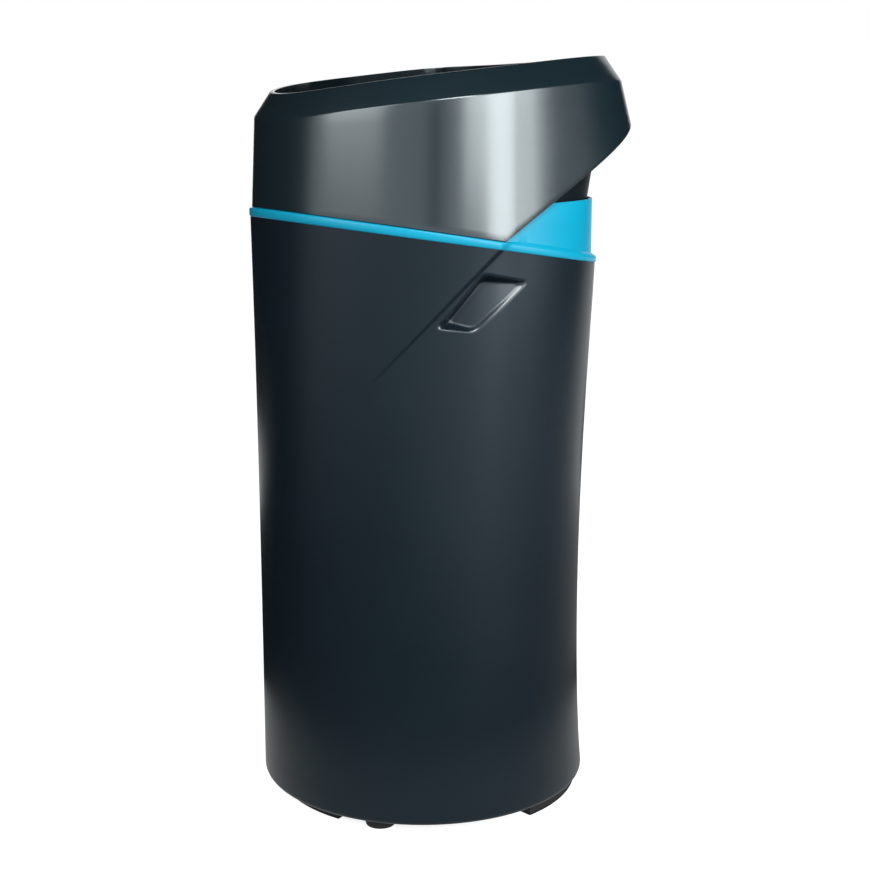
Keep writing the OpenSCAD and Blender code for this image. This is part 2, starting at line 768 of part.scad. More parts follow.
module resin_tank() {
    dome = 62;
    foot = 46;
    neck_l = 14;
    inner = tank_r - tank_wall;
    shoulder = tank_h - flange_h - neck_l;
    color([0.22, 0.36, 0.5]) at_tank() translate([0, 0, tank_z]) rotate_extrude() polygon(concat(
        [[0, 0], [tank_r - foot, 0]],
        arc(tank_r - foot, foot, foot, foot, -75, 0, 6),
        arc(neck_r, shoulder - dome, tank_r - neck_r, dome, 0, 90, 9),
        [[neck_r, tank_h - flange_h], [flange_r, tank_h - flange_h], [flange_r, tank_h],
            [neck_bore_r, tank_h], [neck_bore_r, shoulder - tank_wall]],
        arc(neck_bore_r, shoulder - dome, inner - neck_bore_r, dome - tank_wall, 90, 0, 9),
        arc(tank_r - foot, foot, foot - tank_wall, foot - tank_wall, 0, -75, 6),
        [[tank_r - foot, tank_wall], [0, tank_wall]]));
}

strainer_z = tank_z + tank_wall + seat_gap;
// Depth of the riser's seat in the lower strainer, and reach of the riser into the valve
riser_seat = 14;
riser_up = 24;
// Length of the valve's spigot in the tank's neck
spigot_h = 22;

module riser_tube() {
    low = strainer_z + riser_seat;
    color([0.85, 0.86, 0.84]) at_tank() translate([0, 0, low])
        ring(riser_r, riser_r - riser_wall, tank_top + riser_up - low);
}

// Eight slots round a strainer
module slots(inner, low, size) {
    for (k = [0:7]) rotate([0, 0, 45 * k]) translate([inner, -size[1] / 2, low]) cube(size);
}

module lower_strainer() {
    r = 34;
    h = 40;
    color([0.8, 0.81, 0.8]) at_tank() translate([0, 0, strainer_z]) difference() {
        cylinder(r = r, h = h);
        translate([0, 0, riser_seat - seat_gap]) cylinder(r = riser_r + run_gap, h = h);
        slots(inner = 20, low = 6, size = [20, 2, 28]);
    }
}

module upper_strainer() {
    h = 28;
    slack = 3;
    color([0.8, 0.81, 0.8]) at_tank() translate([0, 0, tank_top - spigot_h - seat_gap - h]) difference() {
        cylinder(r = neck_bore_r - slack, h = h);
        translate([0, 0, -e]) cylinder(r = riser_r + run_gap, h = h + 2 * e);
        slots(inner = 18, low = 5, size = [20, 2, 18]);
    }
}

// Gap between the tank's flange and the valve's
valve_lift = 1;

// Two half rings that draw the valve's flange onto the tank's flange
module neck_clamp() {
    wall = 8;
    jaw = 4;
    split = 4;
    inner = neck_r + fit_gap;
    groove = flange_r + fit_gap;
    outer = flange_r + wall;
    low = tank_top - flange_h - fit_gap - jaw;
    high = tank_top + valve_lift + flange_h + fit_gap + jaw;
    color([0.16, 0.17, 0.18]) at_tank() for (half = [0, 1]) rotate([0, 0, 180 * half + split / 2])
        rotate_extrude(angle = 180 - split) polygon([[inner, low], [outer, low], [outer, high], [inner, high],
            [inner, high - jaw], [groove, high - jaw], [groove, low + jaw], [inner, low + jaw]]);
}

groove_drop = 11;
groove_z = tank_top - groove_drop;
ring_t = 1.9;
ring_gap = 0.1;

module neck_o_ring() {
    color([0.05, 0.05, 0.05]) at_tank() translate([0, 0, groove_z])
        o_ring(neck_bore_r - ring_gap - ring_t, ring_t);
}

// Valve

screw_at = (drum_r + chamber_r) / 2;
cover_screw_angles = [30, 90, 150, 210, 270, 330];
screw_bore_r = 2.06;
screw_hole_r = 2.2;
tube_in = 12;
tube_end = block_y0 + tube_in;
// Socket of the drain beside the drum
drain_up = 4;
drain_out = 20;
drain_plug_r = 8;
drain_half = 10;
drain_z = port_z + drain_up;
drain_x = -(block_half + drain_out);
// Passages between the ports and the rotor chamber
passage_at = [28, 18];
passage_r = 6.5;
brine_y = -20;
brine_bore_r = 5;
// Saddle that carries the venturi
saddle_w = 32;
saddle_h = 24;
saddle_out = 20;
suction_up = 15;
suction_r = 4;

module port_pair() {
    for (x = [-port_x, port_x]) translate([x, 0, port_z]) rotate([-90, 0, 0]) children();
}

// Ports of the seat under the rotor
module passages(h) {
    for (x = [-1, 1]) translate([x * passage_at[0], passage_at[1], 0]) cylinder(r = passage_r, h = h);
}

module valve_body() {
    tube_from = tank_y + 25;
    bore_from = tank_y + 14;
    riser_bore_l = 60;
    groove_in = 4.2;
    screw_deep = 16;
    brine_up = 20;
    drain_bore_r = 5;
    drain_bore_in = 20;
    saddle_y = -drum_r - saddle_out;
    color([0.14, 0.15, 0.16]) difference() {
        union() {
            at_tank() {
                translate([0, 0, tank_top - spigot_h])
                    cylinder(r = neck_bore_r - fit_gap, h = spigot_h + flange_h);
                translate([0, 0, tank_top + valve_lift]) cylinder(r = flange_r, h = flange_h);
                translate([0, 0, tank_top + valve_lift]) cylinder(r = neck_r, h = drum_low - tank_top);
                translate([0, 0, drum_low]) cylinder(r = drum_r, h = drum_top - drum_low);
                translate([-saddle_w / 2, saddle_y, drum_low]) cube([saddle_w, 2 * saddle_out, saddle_h]);
            }
            port_pair() translate([0, 0, tube_from]) cylinder(r = port_r, h = tube_end - tube_from);
            translate([drain_x - drain_half, tank_y - drain_half, drain_z - drain_half])
                cube([-drain_x, 2 * drain_half, 2 * drain_half]);
        }
        at_tank() {
            translate([0, 0, tank_top - spigot_h - e]) cylinder(r = riser_r + run_gap, h = riser_bore_l);
            translate([0, 0, chamber_z]) cylinder(r = chamber_r, h = through);
            translate([0, 0, port_z]) passages(chamber_above + e);
            translate([0, brine_y, tank_top + brine_up]) cylinder(r = brine_bore_r, h = chamber_z - tank_top);
            translate([0, 0, groove_z - ring_t - ring_gap])
                ring(flange_r, neck_bore_r - groove_in, 2 * (ring_t + ring_gap));
            for (a = cover_screw_angles) rotate([0, 0, a]) translate([screw_at, 0, drum_top - screw_deep])
                cylinder(r = screw_bore_r, h = screw_deep + e);
            translate([0, saddle_y - e, drum_low + suction_up]) rotate([-90, 0, 0])
                cylinder(r = suction_r, h = brine_y - saddle_y + e);
        }
        port_pair() translate([0, 0, bore_from]) cylinder(r = port_bore_r, h = tube_end);
        translate([drain_x, tank_y, drain_z]) {
            rotate([-90, 0, 0]) cylinder(r = drain_plug_r + run_gap, h = through);
            rotate([0, 90, 0]) cylinder(r = drain_bore_r, h = drain_bore_in - drain_x - chamber_r);
        }
    }
}

seal_t = 3;
rotor_z = chamber_z + seal_t + 2 * seat_gap;
rotor_t = 9;

module rotor_seal() {
    color([0.06, 0.06, 0.07]) at_tank() translate([0, 0, chamber_z + seat_gap]) difference() {
        cylinder(r = chamber_r - fit_gap, h = seal_t);
        translate([0, 0, -e]) passages(seal_t + 2 * e);
        for (y = [brine_y, 0]) translate([0, y, -e]) cylinder(r = brine_bore_r, h = seal_t + 2 * e);
    }
}

// Disc whose kidney passages join the ports, with the shaft that carries the cam gear
module rotor_disc() {
    shaft_over = 5;
    module kidney(turn, angle, inner, width) {
        deep = 5;
        translate([0, 0, -e]) rotate([0, 0, turn]) rotate_extrude(angle = angle)
            translate([inner, 0]) square([width, deep + e]);
    }
    color([0.86, 0.85, 0.8]) at_tank() translate([0, 0, rotor_z]) {
        difference() {
            cylinder(r = chamber_r - 2 * fit_gap, h = rotor_t);
            kidney(turn = 25, angle = 120, inner = 27, width = 11);
            kidney(turn = 205, angle = 90, inner = 14, width = 22);
        }
        translate([0, 0, rotor_t])
            cylinder(r = shaft_r, h = gear_z + gear_t + shaft_over - rotor_z - rotor_t);
    }
}

module wave_washer() {
    outer = 30;
    inner = 22;
    low = rotor_z + rotor_t + seat_gap;
    color([0.72, 0.73, 0.75]) at_tank() translate([0, 0, low]) ring(outer, inner, cover_z - seat_gap - low);
}

// Cover of the drum, with a wing for the motor's posts and one for the position switch
module valve_cover() {
    lip = 2;
    post_r = 6;
    wing_in = 12;
    wing_side = 9;
    switch_wing = [60, 32];
    switch_out = 24;
    color([0.13, 0.14, 0.15]) at_tank() translate([0, 0, cover_z]) difference() {
        union() {
            linear_extrude(cover_t) {
                circle(r = drum_r + lip);
                translate([0, -motor_post_y - wing_side])
                    square([motor_x + wing_in, 2 * (motor_post_y + wing_side)]);
                translate([-cam_r - switch_out, -switch_wing[1] / 2]) square(switch_wing);
            }
            for (y = [-1, 1]) translate([motor_x, y * motor_post_y, cover_t - e])
                cylinder(r = post_r, h = motor_z - cover_z - cover_t + e - seat_gap);
        }
        translate([0, 0, -e]) cylinder(r = shaft_r + run_gap, h = cover_t + 2 * e);
        for (a = cover_screw_angles) rotate([0, 0, a]) translate([screw_at, 0, -e])
            cylinder(r = screw_hole_r, h = cover_t + 2 * e);
        for (y = [-1, 1]) translate([motor_x, y * motor_post_y, cover_t])
            cylinder(r = screw_bore_r, h = through);
    }
}

// Screw of the cover and of the motor
module valve_screw(length) {
    screw(r = 2, length = length, head_r = 3.6, head_h = 2.4);
}

module cover_screws() {
    bite = 14;
    color([0.75, 0.76, 0.78]) at_tank() for (a = cover_screw_angles) rotate([0, 0, a])
        translate([screw_at, 0, cover_z + cover_t + head_gap]) valve_screw(cover_t + bite);
}

// Gear with the raised cam that works the position switch
module cam_gear() {
    hub_r = 20;
    hub_h = 4;
    cam_in = 12;
    cam_w = 8;
    cam_h = 3;
    color([0.88, 0.87, 0.82]) at_tank() translate([0, 0, gear_z]) difference() {
        union() {
            gear(cam_teeth, gear_m, gear_t);
            translate([0, 0, gear_t - e]) {
                cylinder(r = hub_r, h = hub_h + e);
                rotate([0, 0, 150]) rotate_extrude(angle = 60)
                    translate([cam_r - cam_in, 0]) square([cam_w, cam_h + e]);
            }
        }
        translate([0, 0, -e]) cylinder(r = shaft_r + press_gap, h = gear_t + hub_h + 2 * e);
    }
}

mesh_turn = pinion_teeth % 2 == 0 ? 180 / pinion_teeth : 0;
pinion_shaft_r = 4;
pinion_seat = 10;
pinion_lift = 1;

module motor_pinion() {
    color([0.7, 0.66, 0.45]) translate([motor_x, tank_y, gear_z + pinion_lift]) {
        rotate([0, 0, mesh_turn]) gear(pinion_teeth, gear_m, gear_t - 2 * pinion_lift);
        cylinder(r = pinion_shaft_r, h = motor_z + pinion_seat - gear_z - pinion_lift);
    }
}

motor_plate = 4;

module drive_motor() {
    ear = 13;
    plate_in = 4;
    case_in = 6;
    cap_in = 10;
    case_step = 14;
    case_h = 26;
    seat_over = 0.6;
    head_room_r = 4.2;
    color([0.68, 0.69, 0.71]) translate([motor_x, tank_y, motor_z]) difference() {
        union() {
            linear_extrude(motor_plate) {
                circle(r = motor_r - plate_in);
                square([ear, 2 * motor_post_y + ear], center = true);
            }
            translate([0, 0, motor_plate - e]) cylinder(r = motor_r - case_in, h = case_step + e);
            translate([0, 0, motor_plate + case_step - e])
                cylinder(r = motor_r - cap_in, h = case_h - case_step + e);
        }
        translate([0, 0, -e]) cylinder(r = pinion_shaft_r + run_gap, h = pinion_seat + seat_over + e);
        for (y = [-1, 1]) translate([0, y * motor_post_y, -e]) {
            cylinder(r = screw_hole_r, h = motor_plate + 2 * e);
            translate([0, 0, motor_plate + e]) cylinder(r = head_room_r, h = through);
        }
    }
}

module motor_screws() {
    length = 18;
    color([0.75, 0.76, 0.78]) for (y = [-1, 1])
        translate([motor_x, tank_y + y * motor_post_y, motor_z + motor_plate + head_gap]) valve_screw(length);
}

module position_switch() {
    size = [16, 20, gear_t + 12];
    out = 21;
    hole_r = 1.6;
    hole_z = [6, 16];
    color([0.09, 0.09, 0.1]) at_tank()
        translate([-cam_r - out, -size[1] / 2, cover_z + cover_t + seat_gap]) difference() {
            cube(size);
            for (z = hole_z) translate([size[0] / 2, -e, z]) rotate([-90, 0, 0])
                cylinder(r = hole_r, h = size[1] + 2 * e);
        }
}

// Venturi that draws brine into the valve

venturi_r = 24;
venturi_h = 40;
venturi_back = 28;
venturi_y = tank_y - drum_r - saddle_out - venturi_back;
nozzle_r = 6;
nozzle_l = 18;
gland_drop = 3.8;
gland_r = 20.2;
gland_ring_t = 1.7;

module venturi_body() {
    floor_t = 9;
    inner_r = 18;
    nozzle_bore_r = 3;
    color([0.15, 0.16, 0.17]) translate([0, venturi_y, drum_low]) difference() {
        union() {
            cylinder(r = venturi_r, h = venturi_h);
            translate([0, 0, -nozzle_l]) cylinder(r = nozzle_r, h = nozzle_l + e);
            translate([-saddle_w / 2, 0, 0]) cube([saddle_w, venturi_back - seat_gap, saddle_h]);
        }
        translate([0, 0, floor_t]) cylinder(r = inner_r, h = venturi_h);
        translate([0, 0, -nozzle_l - e]) cylinder(r = nozzle_bore_r, h = through);
        translate([0, 0, venturi_h - gland_drop]) ring(venturi_r + e, gland_r, gland_drop + e);
        translate([0, 0, suction_up]) rotate([-90, 0, 0]) cylinder(r = suction_r, h = venturi_h);
    }
}

module venturi_cap() {
    wall = 3;
    skirt = 14;
    top_t = 8;
    rib_r = 1.6;
    outer = venturi_r + wall;
    color([0.1, 0.11, 0.12]) translate([0, venturi_y, drum_low + venturi_h + seat_gap - skirt]) difference() {
        union() {
            cylinder(r = outer, h = skirt + top_t);
            for (k = [0:11]) rotate([0, 0, 30 * k]) translate([outer, 0, 0])
                cylinder(r = rib_r, h = skirt + top_t, $fn = 16);
        }
        translate([0, 0, -e]) cylinder(r = venturi_r + fit_gap, h = skirt + e);
    }
}

module venturi_o_ring() {
    rise = 2;
    color([0.05, 0.05, 0.05]) translate([0, venturi_y, drum_low + venturi_h - gland_drop + rise])
        o_ring((venturi_r + gland_r) / 2, gland_ring_t);
}

// Flow meter in the outlet tube

meter_in = 34;
meter_y = tube_end - meter_in;
wheel_l = 10;
spindle_r = 1.5;
wheel_hub_r = 4;

module in_outlet() {
    translate([-port_x, meter_y, port_z]) rotate([-90, 0, 0]) children();
}

module turbine() {
    tip_gap = 1;
    blade_t = 1.6;
    blade_w = 16;
    pitch = 30;
    color([0.2, 0.5, 0.7]) in_outlet() difference() {
        union() {
            cylinder(r = wheel_hub_r, h = wheel_l);
            intersection() {
                cylinder(r = port_bore_r - tip_gap, h = wheel_l);
                for (k = [0:5]) rotate([0, 0, 60 * k]) translate([0, 0, wheel_l / 2]) rotate([pitch, 0, 0])
                    translate([0, -blade_t / 2, -blade_w / 2]) cube([port_bore_r, blade_t, blade_w]);
            }
        }
        translate([0, 0, -e]) cylinder(r = spindle_r + run_gap, h = wheel_l + 2 * e);
    }
}

module turbine_support() {
    spacing = 0.6;
    grip = 0.2;
    support_l = 6;
    window_w = 6;
    spindle_out = 1;
    spindle_l = 12;
    color([0.82, 0.83, 0.82]) in_outlet() {
        translate([0, 0, wheel_l + spacing]) difference() {
            cylinder(r = port_bore_r - grip, h = support_l);
            for (k = [0:2]) rotate([0, 0, 120 * k]) translate([0, 0, -e]) rotate_extrude(angle = 90)
                translate([wheel_hub_r, 0]) square([window_w, support_l + 2 * e]);
        }
        translate([0, 0, -spindle_out]) cylinder(r = spindle_r, h = spindle_l);
    }
}

// Bypass valve behind the shroud's notch

module bypass_body() {
    collar_l = 10;
    block_h = 38;
    socket_wall = 3;
    socket_gap = 0.1;
    lead = 6;
    end_wall = 6;
    socket = block_y0 - lead;
    color([0.16, 0.17, 0.18]) difference() {
        union() {
            translate([-block_half, block_y0 + collar_l, port_z - block_h / 2])
                cube([2 * block_half, block_y1 - block_y0 - collar_l, block_h]);
            port_pair() translate([0, 0, block_y0]) cylinder(r = port_r + socket_wall, h = collar_l + e);
            port_pair() translate([0, 0, block_y1 - e]) cylinder(r = pipe_end_r, h = pipe_end_l + e);
        }
        port_pair() translate([0, 0, socket]) {
            cylinder(r = port_r + socket_gap, h = tube_end + seat_gap - socket);
            cylinder(r = port_bore_r, h = block_y1);
        }
        translate([end_wall - block_half, spool_y, port_z]) rotate([0, 90, 0])
            cylinder(r = spool_bore_r, h = 2 * block_half);
    }
}

groove_in = 16;
spool_grooves = [groove_in - port_x, 0, port_x - groove_in];
spool_ring_t = 0.9;
spool_ring_r = 9.95;

// Spool with a waist at each port and a knob to push it in or pull it out
module bypass_spool() {
    end_gap = 7;
    waist_r = 6;
    waist_l = 20;
    groove_r = 8.9;
    groove_w = 2.2;
    knob_r = 13;
    flute_r = 1.4;
    flute_out = 0.6;
    low = end_gap - block_half;
    knob = block_half + knob_gap;
    color([0.75, 0.08, 0.06]) translate([0, spool_y, port_z]) rotate([0, 90, 0]) difference() {
        union() {
            translate([0, 0, low]) cylinder(r = spool_r, h = knob - low + e);
            translate([0, 0, knob]) cylinder(r = knob_r, h = knob_l);
        }
        for (x = [-port_x, port_x]) translate([0, 0, x - waist_l / 2]) ring(knob_r, waist_r, waist_l);
        for (x = spool_grooves) translate([0, 0, x - groove_w / 2]) ring(knob_r, groove_r, groove_w);
        for (k = [0:11]) rotate([0, 0, 30 * k]) translate([knob_r + flute_out, 0, knob - e])
            cylinder(r = flute_r, h = knob_l + 2 * e, $fn = 16);
    }
}

module spool_o_rings() {
    color([0.05, 0.05, 0.05]) translate([0, spool_y, port_z]) rotate([0, 90, 0])
        for (x = spool_grooves) translate([0, 0, x]) o_ring(spool_ring_r, spool_ring_t);
}

module port_clips() {
    clip = 4;
    clip_gap = 0.15;
    clear = 6;
    color([0.85, 0.85, 0.83]) port_pair() translate([0, 0, block_y0 - clear]) rotate([0, 0, 130])
        rotate_extrude(angle = 280) translate([port_r + clip_gap, 0]) square(clip);
}

module drain_elbow() {
    plug_l = 6;
    flange_out = 3;
    flange_t = 8;
    wall = 1.5;
    bore = spigot_r - 2;
    color([0.82, 0.82, 0.8]) translate([drain_x, tank_y + drain_half + seat_gap, drain_z])
        rotate([-90, 0, 0]) difference() {
            union() {
                translate([0, 0, -plug_l]) cylinder(r = drain_plug_r, h = plug_l + e);
                cylinder(r = drain_plug_r + flange_out, h = flange_t);
                cylinder(r = spigot_r + wall, h = drain_l - spigot_l);
                cylinder(r = spigot_r, h = drain_l);
            }
            translate([0, 0, -plug_l - e]) cylinder(r = bore, h = plug_l + drain_l + 2 * e);
        }
}

// Brine well with its float and pickup

module at_well() {
    translate([well_at[0], well_at[1], 0]) children();
}

well_bearing = atan2(venturi_y - well_at[1], -well_at[0]);
hose_up = 24;
hose_out_z = pickup_top + hose_up;
// Radius that stands clear of the pickup tube, for the hose's hole and the float's stop
pickup_clear_r = pickup_r + 4;

module brine_well() {
    slot = [16, 12, 24];
    slot_in = 8;
    color([0.78, 0.79, 0.78]) at_well() translate([0, 0, floor_z + seat_gap]) difference() {
        ring(well_r, well_r - well_wall, well_h);
        for (k = [0:3]) rotate([0, 0, 90 * k + 45])
            translate([well_r - slot_in, -slot[1] / 2, -e]) cube(slot);
        translate([0, 0, hose_out_z - floor_z]) rotate([0, 90, well_bearing])
            cylinder(r = pickup_clear_r, h = through);
    }
}

module well_cap() {
    wall = 3;
    skirt = 8;
    top_t = 3;
    knob_r = 12;
    knob_h = 14;
    color([0.2, 0.21, 0.22]) at_well() translate([0, 0, floor_z + well_h + 2 * seat_gap]) difference() {
        union() {
            translate([0, 0, -skirt]) cylinder(r = well_r + wall, h = skirt + top_t);
            cylinder(r = knob_r, h = knob_h);
        }
        translate([0, 0, -skirt - e]) cylinder(r = well_r + fit_gap, h = skirt + e);
    }
}

// Air check at the foot of the pickup tube, with the stop that the float rests on
module brine_valve() {
    foot_r = 26;
    foot_t = 5;
    check_r = 16;
    check_h = 60;
    tube_from = floor_z + 50;
    bore_from = floor_z + 20;
    stop_t = 5;
    wall = 2;
    color([0.84, 0.85, 0.83]) at_well() difference() {
        union() {
            translate([0, 0, floor_z + seat_gap]) cylinder(r = foot_r, h = foot_t);
            translate([0, 0, floor_z + seat_gap]) cylinder(r = check_r, h = check_h);
            translate([0, 0, tube_from]) cylinder(r = pickup_r, h = pickup_top - tube_from);
            translate([0, 0, float_low - stop_t]) cylinder(r = pickup_clear_r, h = stop_t - seat_gap);
        }
        translate([0, 0, bore_from]) cylinder(r = pickup_r - wall, h = well_h);
    }
}

module float() {
    round = 6;
    bore = pickup_r + fit_gap;
    color([0.93, 0.92, 0.88]) at_well() translate([0, 0, float_low]) rotate_extrude() polygon(concat(
        [[bore, 0]],
        arc(float_r - round, round, round, round, -90, 0, 5),
        arc(float_r - round, float_h - round, round, round, 0, 90, 5),
        [[bore, float_h]]));
}

// Hose from the pickup tube, through the wall of the well, up to the venturi
module brine_hose() {
    turn = 14;
    straight = 50;
    climb = 60;
    wall = 1;
    from = [well_at[0], well_at[1], pickup_top + seat_gap];
    to = [0, venturi_y, drum_low - nozzle_l - seat_gap];
    out = [cos(well_bearing), sin(well_bearing), 0];
    level = concat([from], [for (t = [0:22.5:90]) [well_at[0], well_at[1], hose_out_z - turn]
        + turn * (1 - cos(t)) * out + [0, 0, turn * sin(t)]]);
    start = level[len(level) - 1] + straight * out;
    bend = [for (t = [0:0.1:1]) pow(1 - t, 3) * start + 3 * pow(1 - t, 2) * t * (start + straight * out)
        + 3 * (1 - t) * t * t * (to - [0, 0, climb]) + pow(t, 3) * to];
    color([0.86, 0.87, 0.86]) hose(concat(level, bend), pickup_r - wall);
}

// Overflow through the rear wall

overflow_y = body_r(0, overflow_z);
elbow_r = 8;
hole_r = 12;

module overflow_grommet() {
    flange = 2.4;
    flange_out = 4;
    slack = 1;
    length = cabinet_wall + 2 * (flange + slack);
    color([0.05, 0.05, 0.05]) translate([0, overflow_y - cabinet_wall - flange - slack, overflow_z])
        rotate([-90, 0, 0]) difference() {
            union() {
                cylinder(r = hole_r - fit_gap, h = length);
                for (z = [0, length - flange]) translate([0, 0, z])
                    cylinder(r = hole_r + flange_out, h = flange);
            }
            translate([0, 0, -e]) cylinder(r = elbow_r + run_gap, h = length + 2 * e);
        }
}

// Elbow turned to the side, away from the inlet
module overflow_elbow() {
    outside = 20;
    inside = 24;
    stop_at = 4;
    stop_out = 3;
    barb_out = 1.5;
    barb_l = 3;
    arm = 12;
    out = spigot_l + arm;
    bore = spigot_r - 2;
    color([0.15, 0.16, 0.17]) translate([0, overflow_y, overflow_z]) difference() {
        union() {
            translate([0, -inside, 0]) rotate([-90, 0, 0]) cylinder(r = elbow_r, h = inside + outside);
            translate([0, stop_at, 0]) rotate([-90, 0, 0]) cylinder(r = elbow_r + stop_out, h = stop_at);
            translate([0, outside, 0]) sphere(r = elbow_r);
            translate([0, outside, 0]) rotate([0, -90, 0]) cylinder(r = spigot_r, h = out);
            translate([-arm, outside, 0]) rotate([0, 90, 0]) cylinder(r = elbow_r + barb_out, h = barb_l);
        }
        translate([0, -inside - e, 0]) rotate([-90, 0, 0]) cylinder(r = bore, h = inside + outside + e);
        translate([0, outside, 0]) rotate([0, -90, 0]) cylinder(r = bore, h = out + e);
    }
}

cabinet();
foot_pads();
round_feet();
accent_rim();
lid_shell();
rear_shroud();
top_tray();
salt_door();
hinge_pins();
door_seal();
control_fascia();
display_window();
display_module();
key(0);  // key_up
key(1);  // key_down
key(2);  // key_menu
key(3);  // key_enter
control_board();
board_screws();
power_socket();
resin_tank();
riser_tube();
lower_strainer();
upper_strainer();
neck_clamp();
neck_o_ring();
valve_body();
rotor_seal();
rotor_disc();
wave_washer();
valve_cover();
cover_screws();
cam_gear();
drive_motor();
motor_pinion();
motor_screws();
position_switch();
venturi_body();
venturi_cap();
venturi_o_ring();
turbine();
turbine_support();
bypass_body();
bypass_spool();
spool_o_rings();
port_clips();
drain_elbow();
brine_well();
well_cap();
brine_valve();
float();
brine_hose();
overflow_elbow();
overflow_grommet();
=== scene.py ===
import math

import bpy
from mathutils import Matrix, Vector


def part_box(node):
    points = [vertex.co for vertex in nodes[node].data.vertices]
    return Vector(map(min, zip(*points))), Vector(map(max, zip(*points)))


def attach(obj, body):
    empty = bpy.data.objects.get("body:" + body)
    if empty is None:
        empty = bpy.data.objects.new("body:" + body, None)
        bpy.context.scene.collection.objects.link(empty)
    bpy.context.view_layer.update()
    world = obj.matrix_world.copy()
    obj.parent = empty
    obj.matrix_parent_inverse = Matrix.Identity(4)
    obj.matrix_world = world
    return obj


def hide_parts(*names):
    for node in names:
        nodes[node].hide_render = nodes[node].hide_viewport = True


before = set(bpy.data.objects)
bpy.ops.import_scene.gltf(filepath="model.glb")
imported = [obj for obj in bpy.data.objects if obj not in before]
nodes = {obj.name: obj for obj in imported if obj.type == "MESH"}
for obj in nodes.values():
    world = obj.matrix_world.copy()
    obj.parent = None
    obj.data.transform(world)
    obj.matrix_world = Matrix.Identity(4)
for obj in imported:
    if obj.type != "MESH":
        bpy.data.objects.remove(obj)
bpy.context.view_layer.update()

# Salt cabinet
# The tub that holds salt and brine is one moulding in dark polypropylene with a fine matt grain. It is
# round at the floor, flares to the top, and has a hand pocket and a fading crease on each side.

base_r = 0.247
foot_h = 0.015
top_half_w = 0.279
top_rear = 0.194
round_power = 2
rear_square = 3.4
rear_curve = 0.755
half_curve = 3.05
square_curve = 2
parting_z = 0.828
parting_fall = 0.148
cabinet_wall = 0.004
floor_z = 0.021
bottom_edge = 0.009
crease_top = (-0.0045, 0.851)
crease_end = (-0.176, 0.645)
crease_bow = 1.65
crease_slant = 0.64
crease_depth = 0.0056
crease_width = 0.0058
crease_fade = 0.085
crease_thin = 0.2
ramp_straight = 0.6
pocket_corners = ((-0.101, 0.7285), (-0.052, 0.7235), (0.022, 0.788), (-0.044, 0.8005))
shallow_edge = 1
pocket_steep = 2.2
pocket_step = 0.003
pocket_slope = 0.42
pocket_fillet = 0.007
pocket_lip = 0.004
side_from = 74
side_to = 142
cut_rounds = 6
weld = 1e-6


def smooth(t):
    t = min(1.0, max(0.0, t))
    return t * t * (3 - 2 * t)


# Radius at angle a, counted from the rear, of an outline with its own reach to front, rear and sides
def outline(a, front, rear, half, square):
    c, s = math.cos(a), math.sin(a)
    reach, power = (rear, square) if c > 0 else (front, round_power)
    return (abs(c / reach) ** power + abs(s / half) ** power) ** (-1 / power)


def body_r(a, z):
    up = max(0.0, (z - foot_h) / (parting_z - foot_h))
    rear = base_r + (top_rear - base_r) * up ** rear_curve
    half = base_r + (top_half_w - base_r) * up ** half_curve
    return outline(a, base_r, rear, half, round_power + (rear_square - round_power) * up ** square_curve)


# Height where a wall at angle a meets a plane that rises towards the rear
def plane_cut(radius, a, z0, rise):
    z = z0
    for _ in range(cut_rounds):
        z = z0 + rise * radius(a, z) * math.cos(a)
    return z


def crease_z(y):
    past_top = y - crease_top[0]
    past_end = y - crease_end[0]
    slope = (crease_top[1] - crease_end[1]) / (crease_top[0] - crease_end[0])
    return crease_top[1] + slope * past_top - crease_bow * past_top * past_end


# A straight ramp from 0 to 1 with its two corners eased
def rounded_step(t):
    t = min(1.0, max(0.0, t))
    return ramp_straight * t + (1 - ramp_straight) * smooth(t)


# How far the wall steps in behind the crease; the step fades down the crease and away from it
def crease_step(y, z):
    behind = (crease_z(y) - z) * crease_slant
    along = ((crease_z(y) + z) / 2 - crease_end[1]) / (crease_top[1] - crease_end[1])
    along = min(1.0, max(0.0, along))
    if behind <= 0 or along == 0:
        return 0.0
    ramp = rounded_step(behind / (crease_width * max(along, crease_thin)))
    return crease_depth * along * ramp * math.exp(-(behind / crease_fade) ** 2)


# The lesser of two values, with the corner between them rounded
def lesser(a, b, blend):
    share = max(blend - abs(a - b), 0.0) / blend
    return min(a, b) - share * share * blend / 4


# Depth of the hand pocket: a sloping floor that is shallow along the lower rear edge, inside steep walls
def pocket_in(y, z):
    inside = []
    for k, (y0, z0) in enumerate(pocket_corners):
        y1, z1 = pocket_corners[(k + 1) % len(pocket_corners)]
        inside.append(((y1 - y0) * (z - z0) - (z1 - z0) * (y - y0)) / math.hypot(y1 - y0, z1 - z0))
    near = inside[0]
    for distance in inside[1:]:
        near = lesser(near, distance, pocket_fillet)
    floor = pocket_step + pocket_slope * inside[shallow_edge]
    depth = lesser(pocket_steep * near, floor, pocket_fillet)
    if depth < -pocket_lip:
        return 0.0
    if depth < pocket_lip:
        return (depth + pocket_lip) ** 2 / (4 * pocket_lip)
    return depth


def moulded_r(a, z):
    r = body_r(a, z)
    y = r * math.cos(a)
    return r - crease_step(y, z) - pocket_in(y, z)


def parting(a):
    return plane_cut(body_r, a, parting_z, -parting_fall)


# Angles round the part, closer together where the sides carry the pocket and the crease
def side_angles(fine, coarse):
    marks = [(0, side_from, coarse), (side_from, side_to, fine), (side_to, 360 - side_to, coarse),
             (360 - side_to, 360 - side_from, fine), (360 - side_from, 360, coarse)]
    turned = []
    for low, high, step in marks:
        count = round((high - low) / step)
        turned += [math.radians(low + (high - low) * k / count) for k in range(count)]
    return turned


def polar(a, r, z):
    return (r * math.sin(a), r * math.cos(a), z)


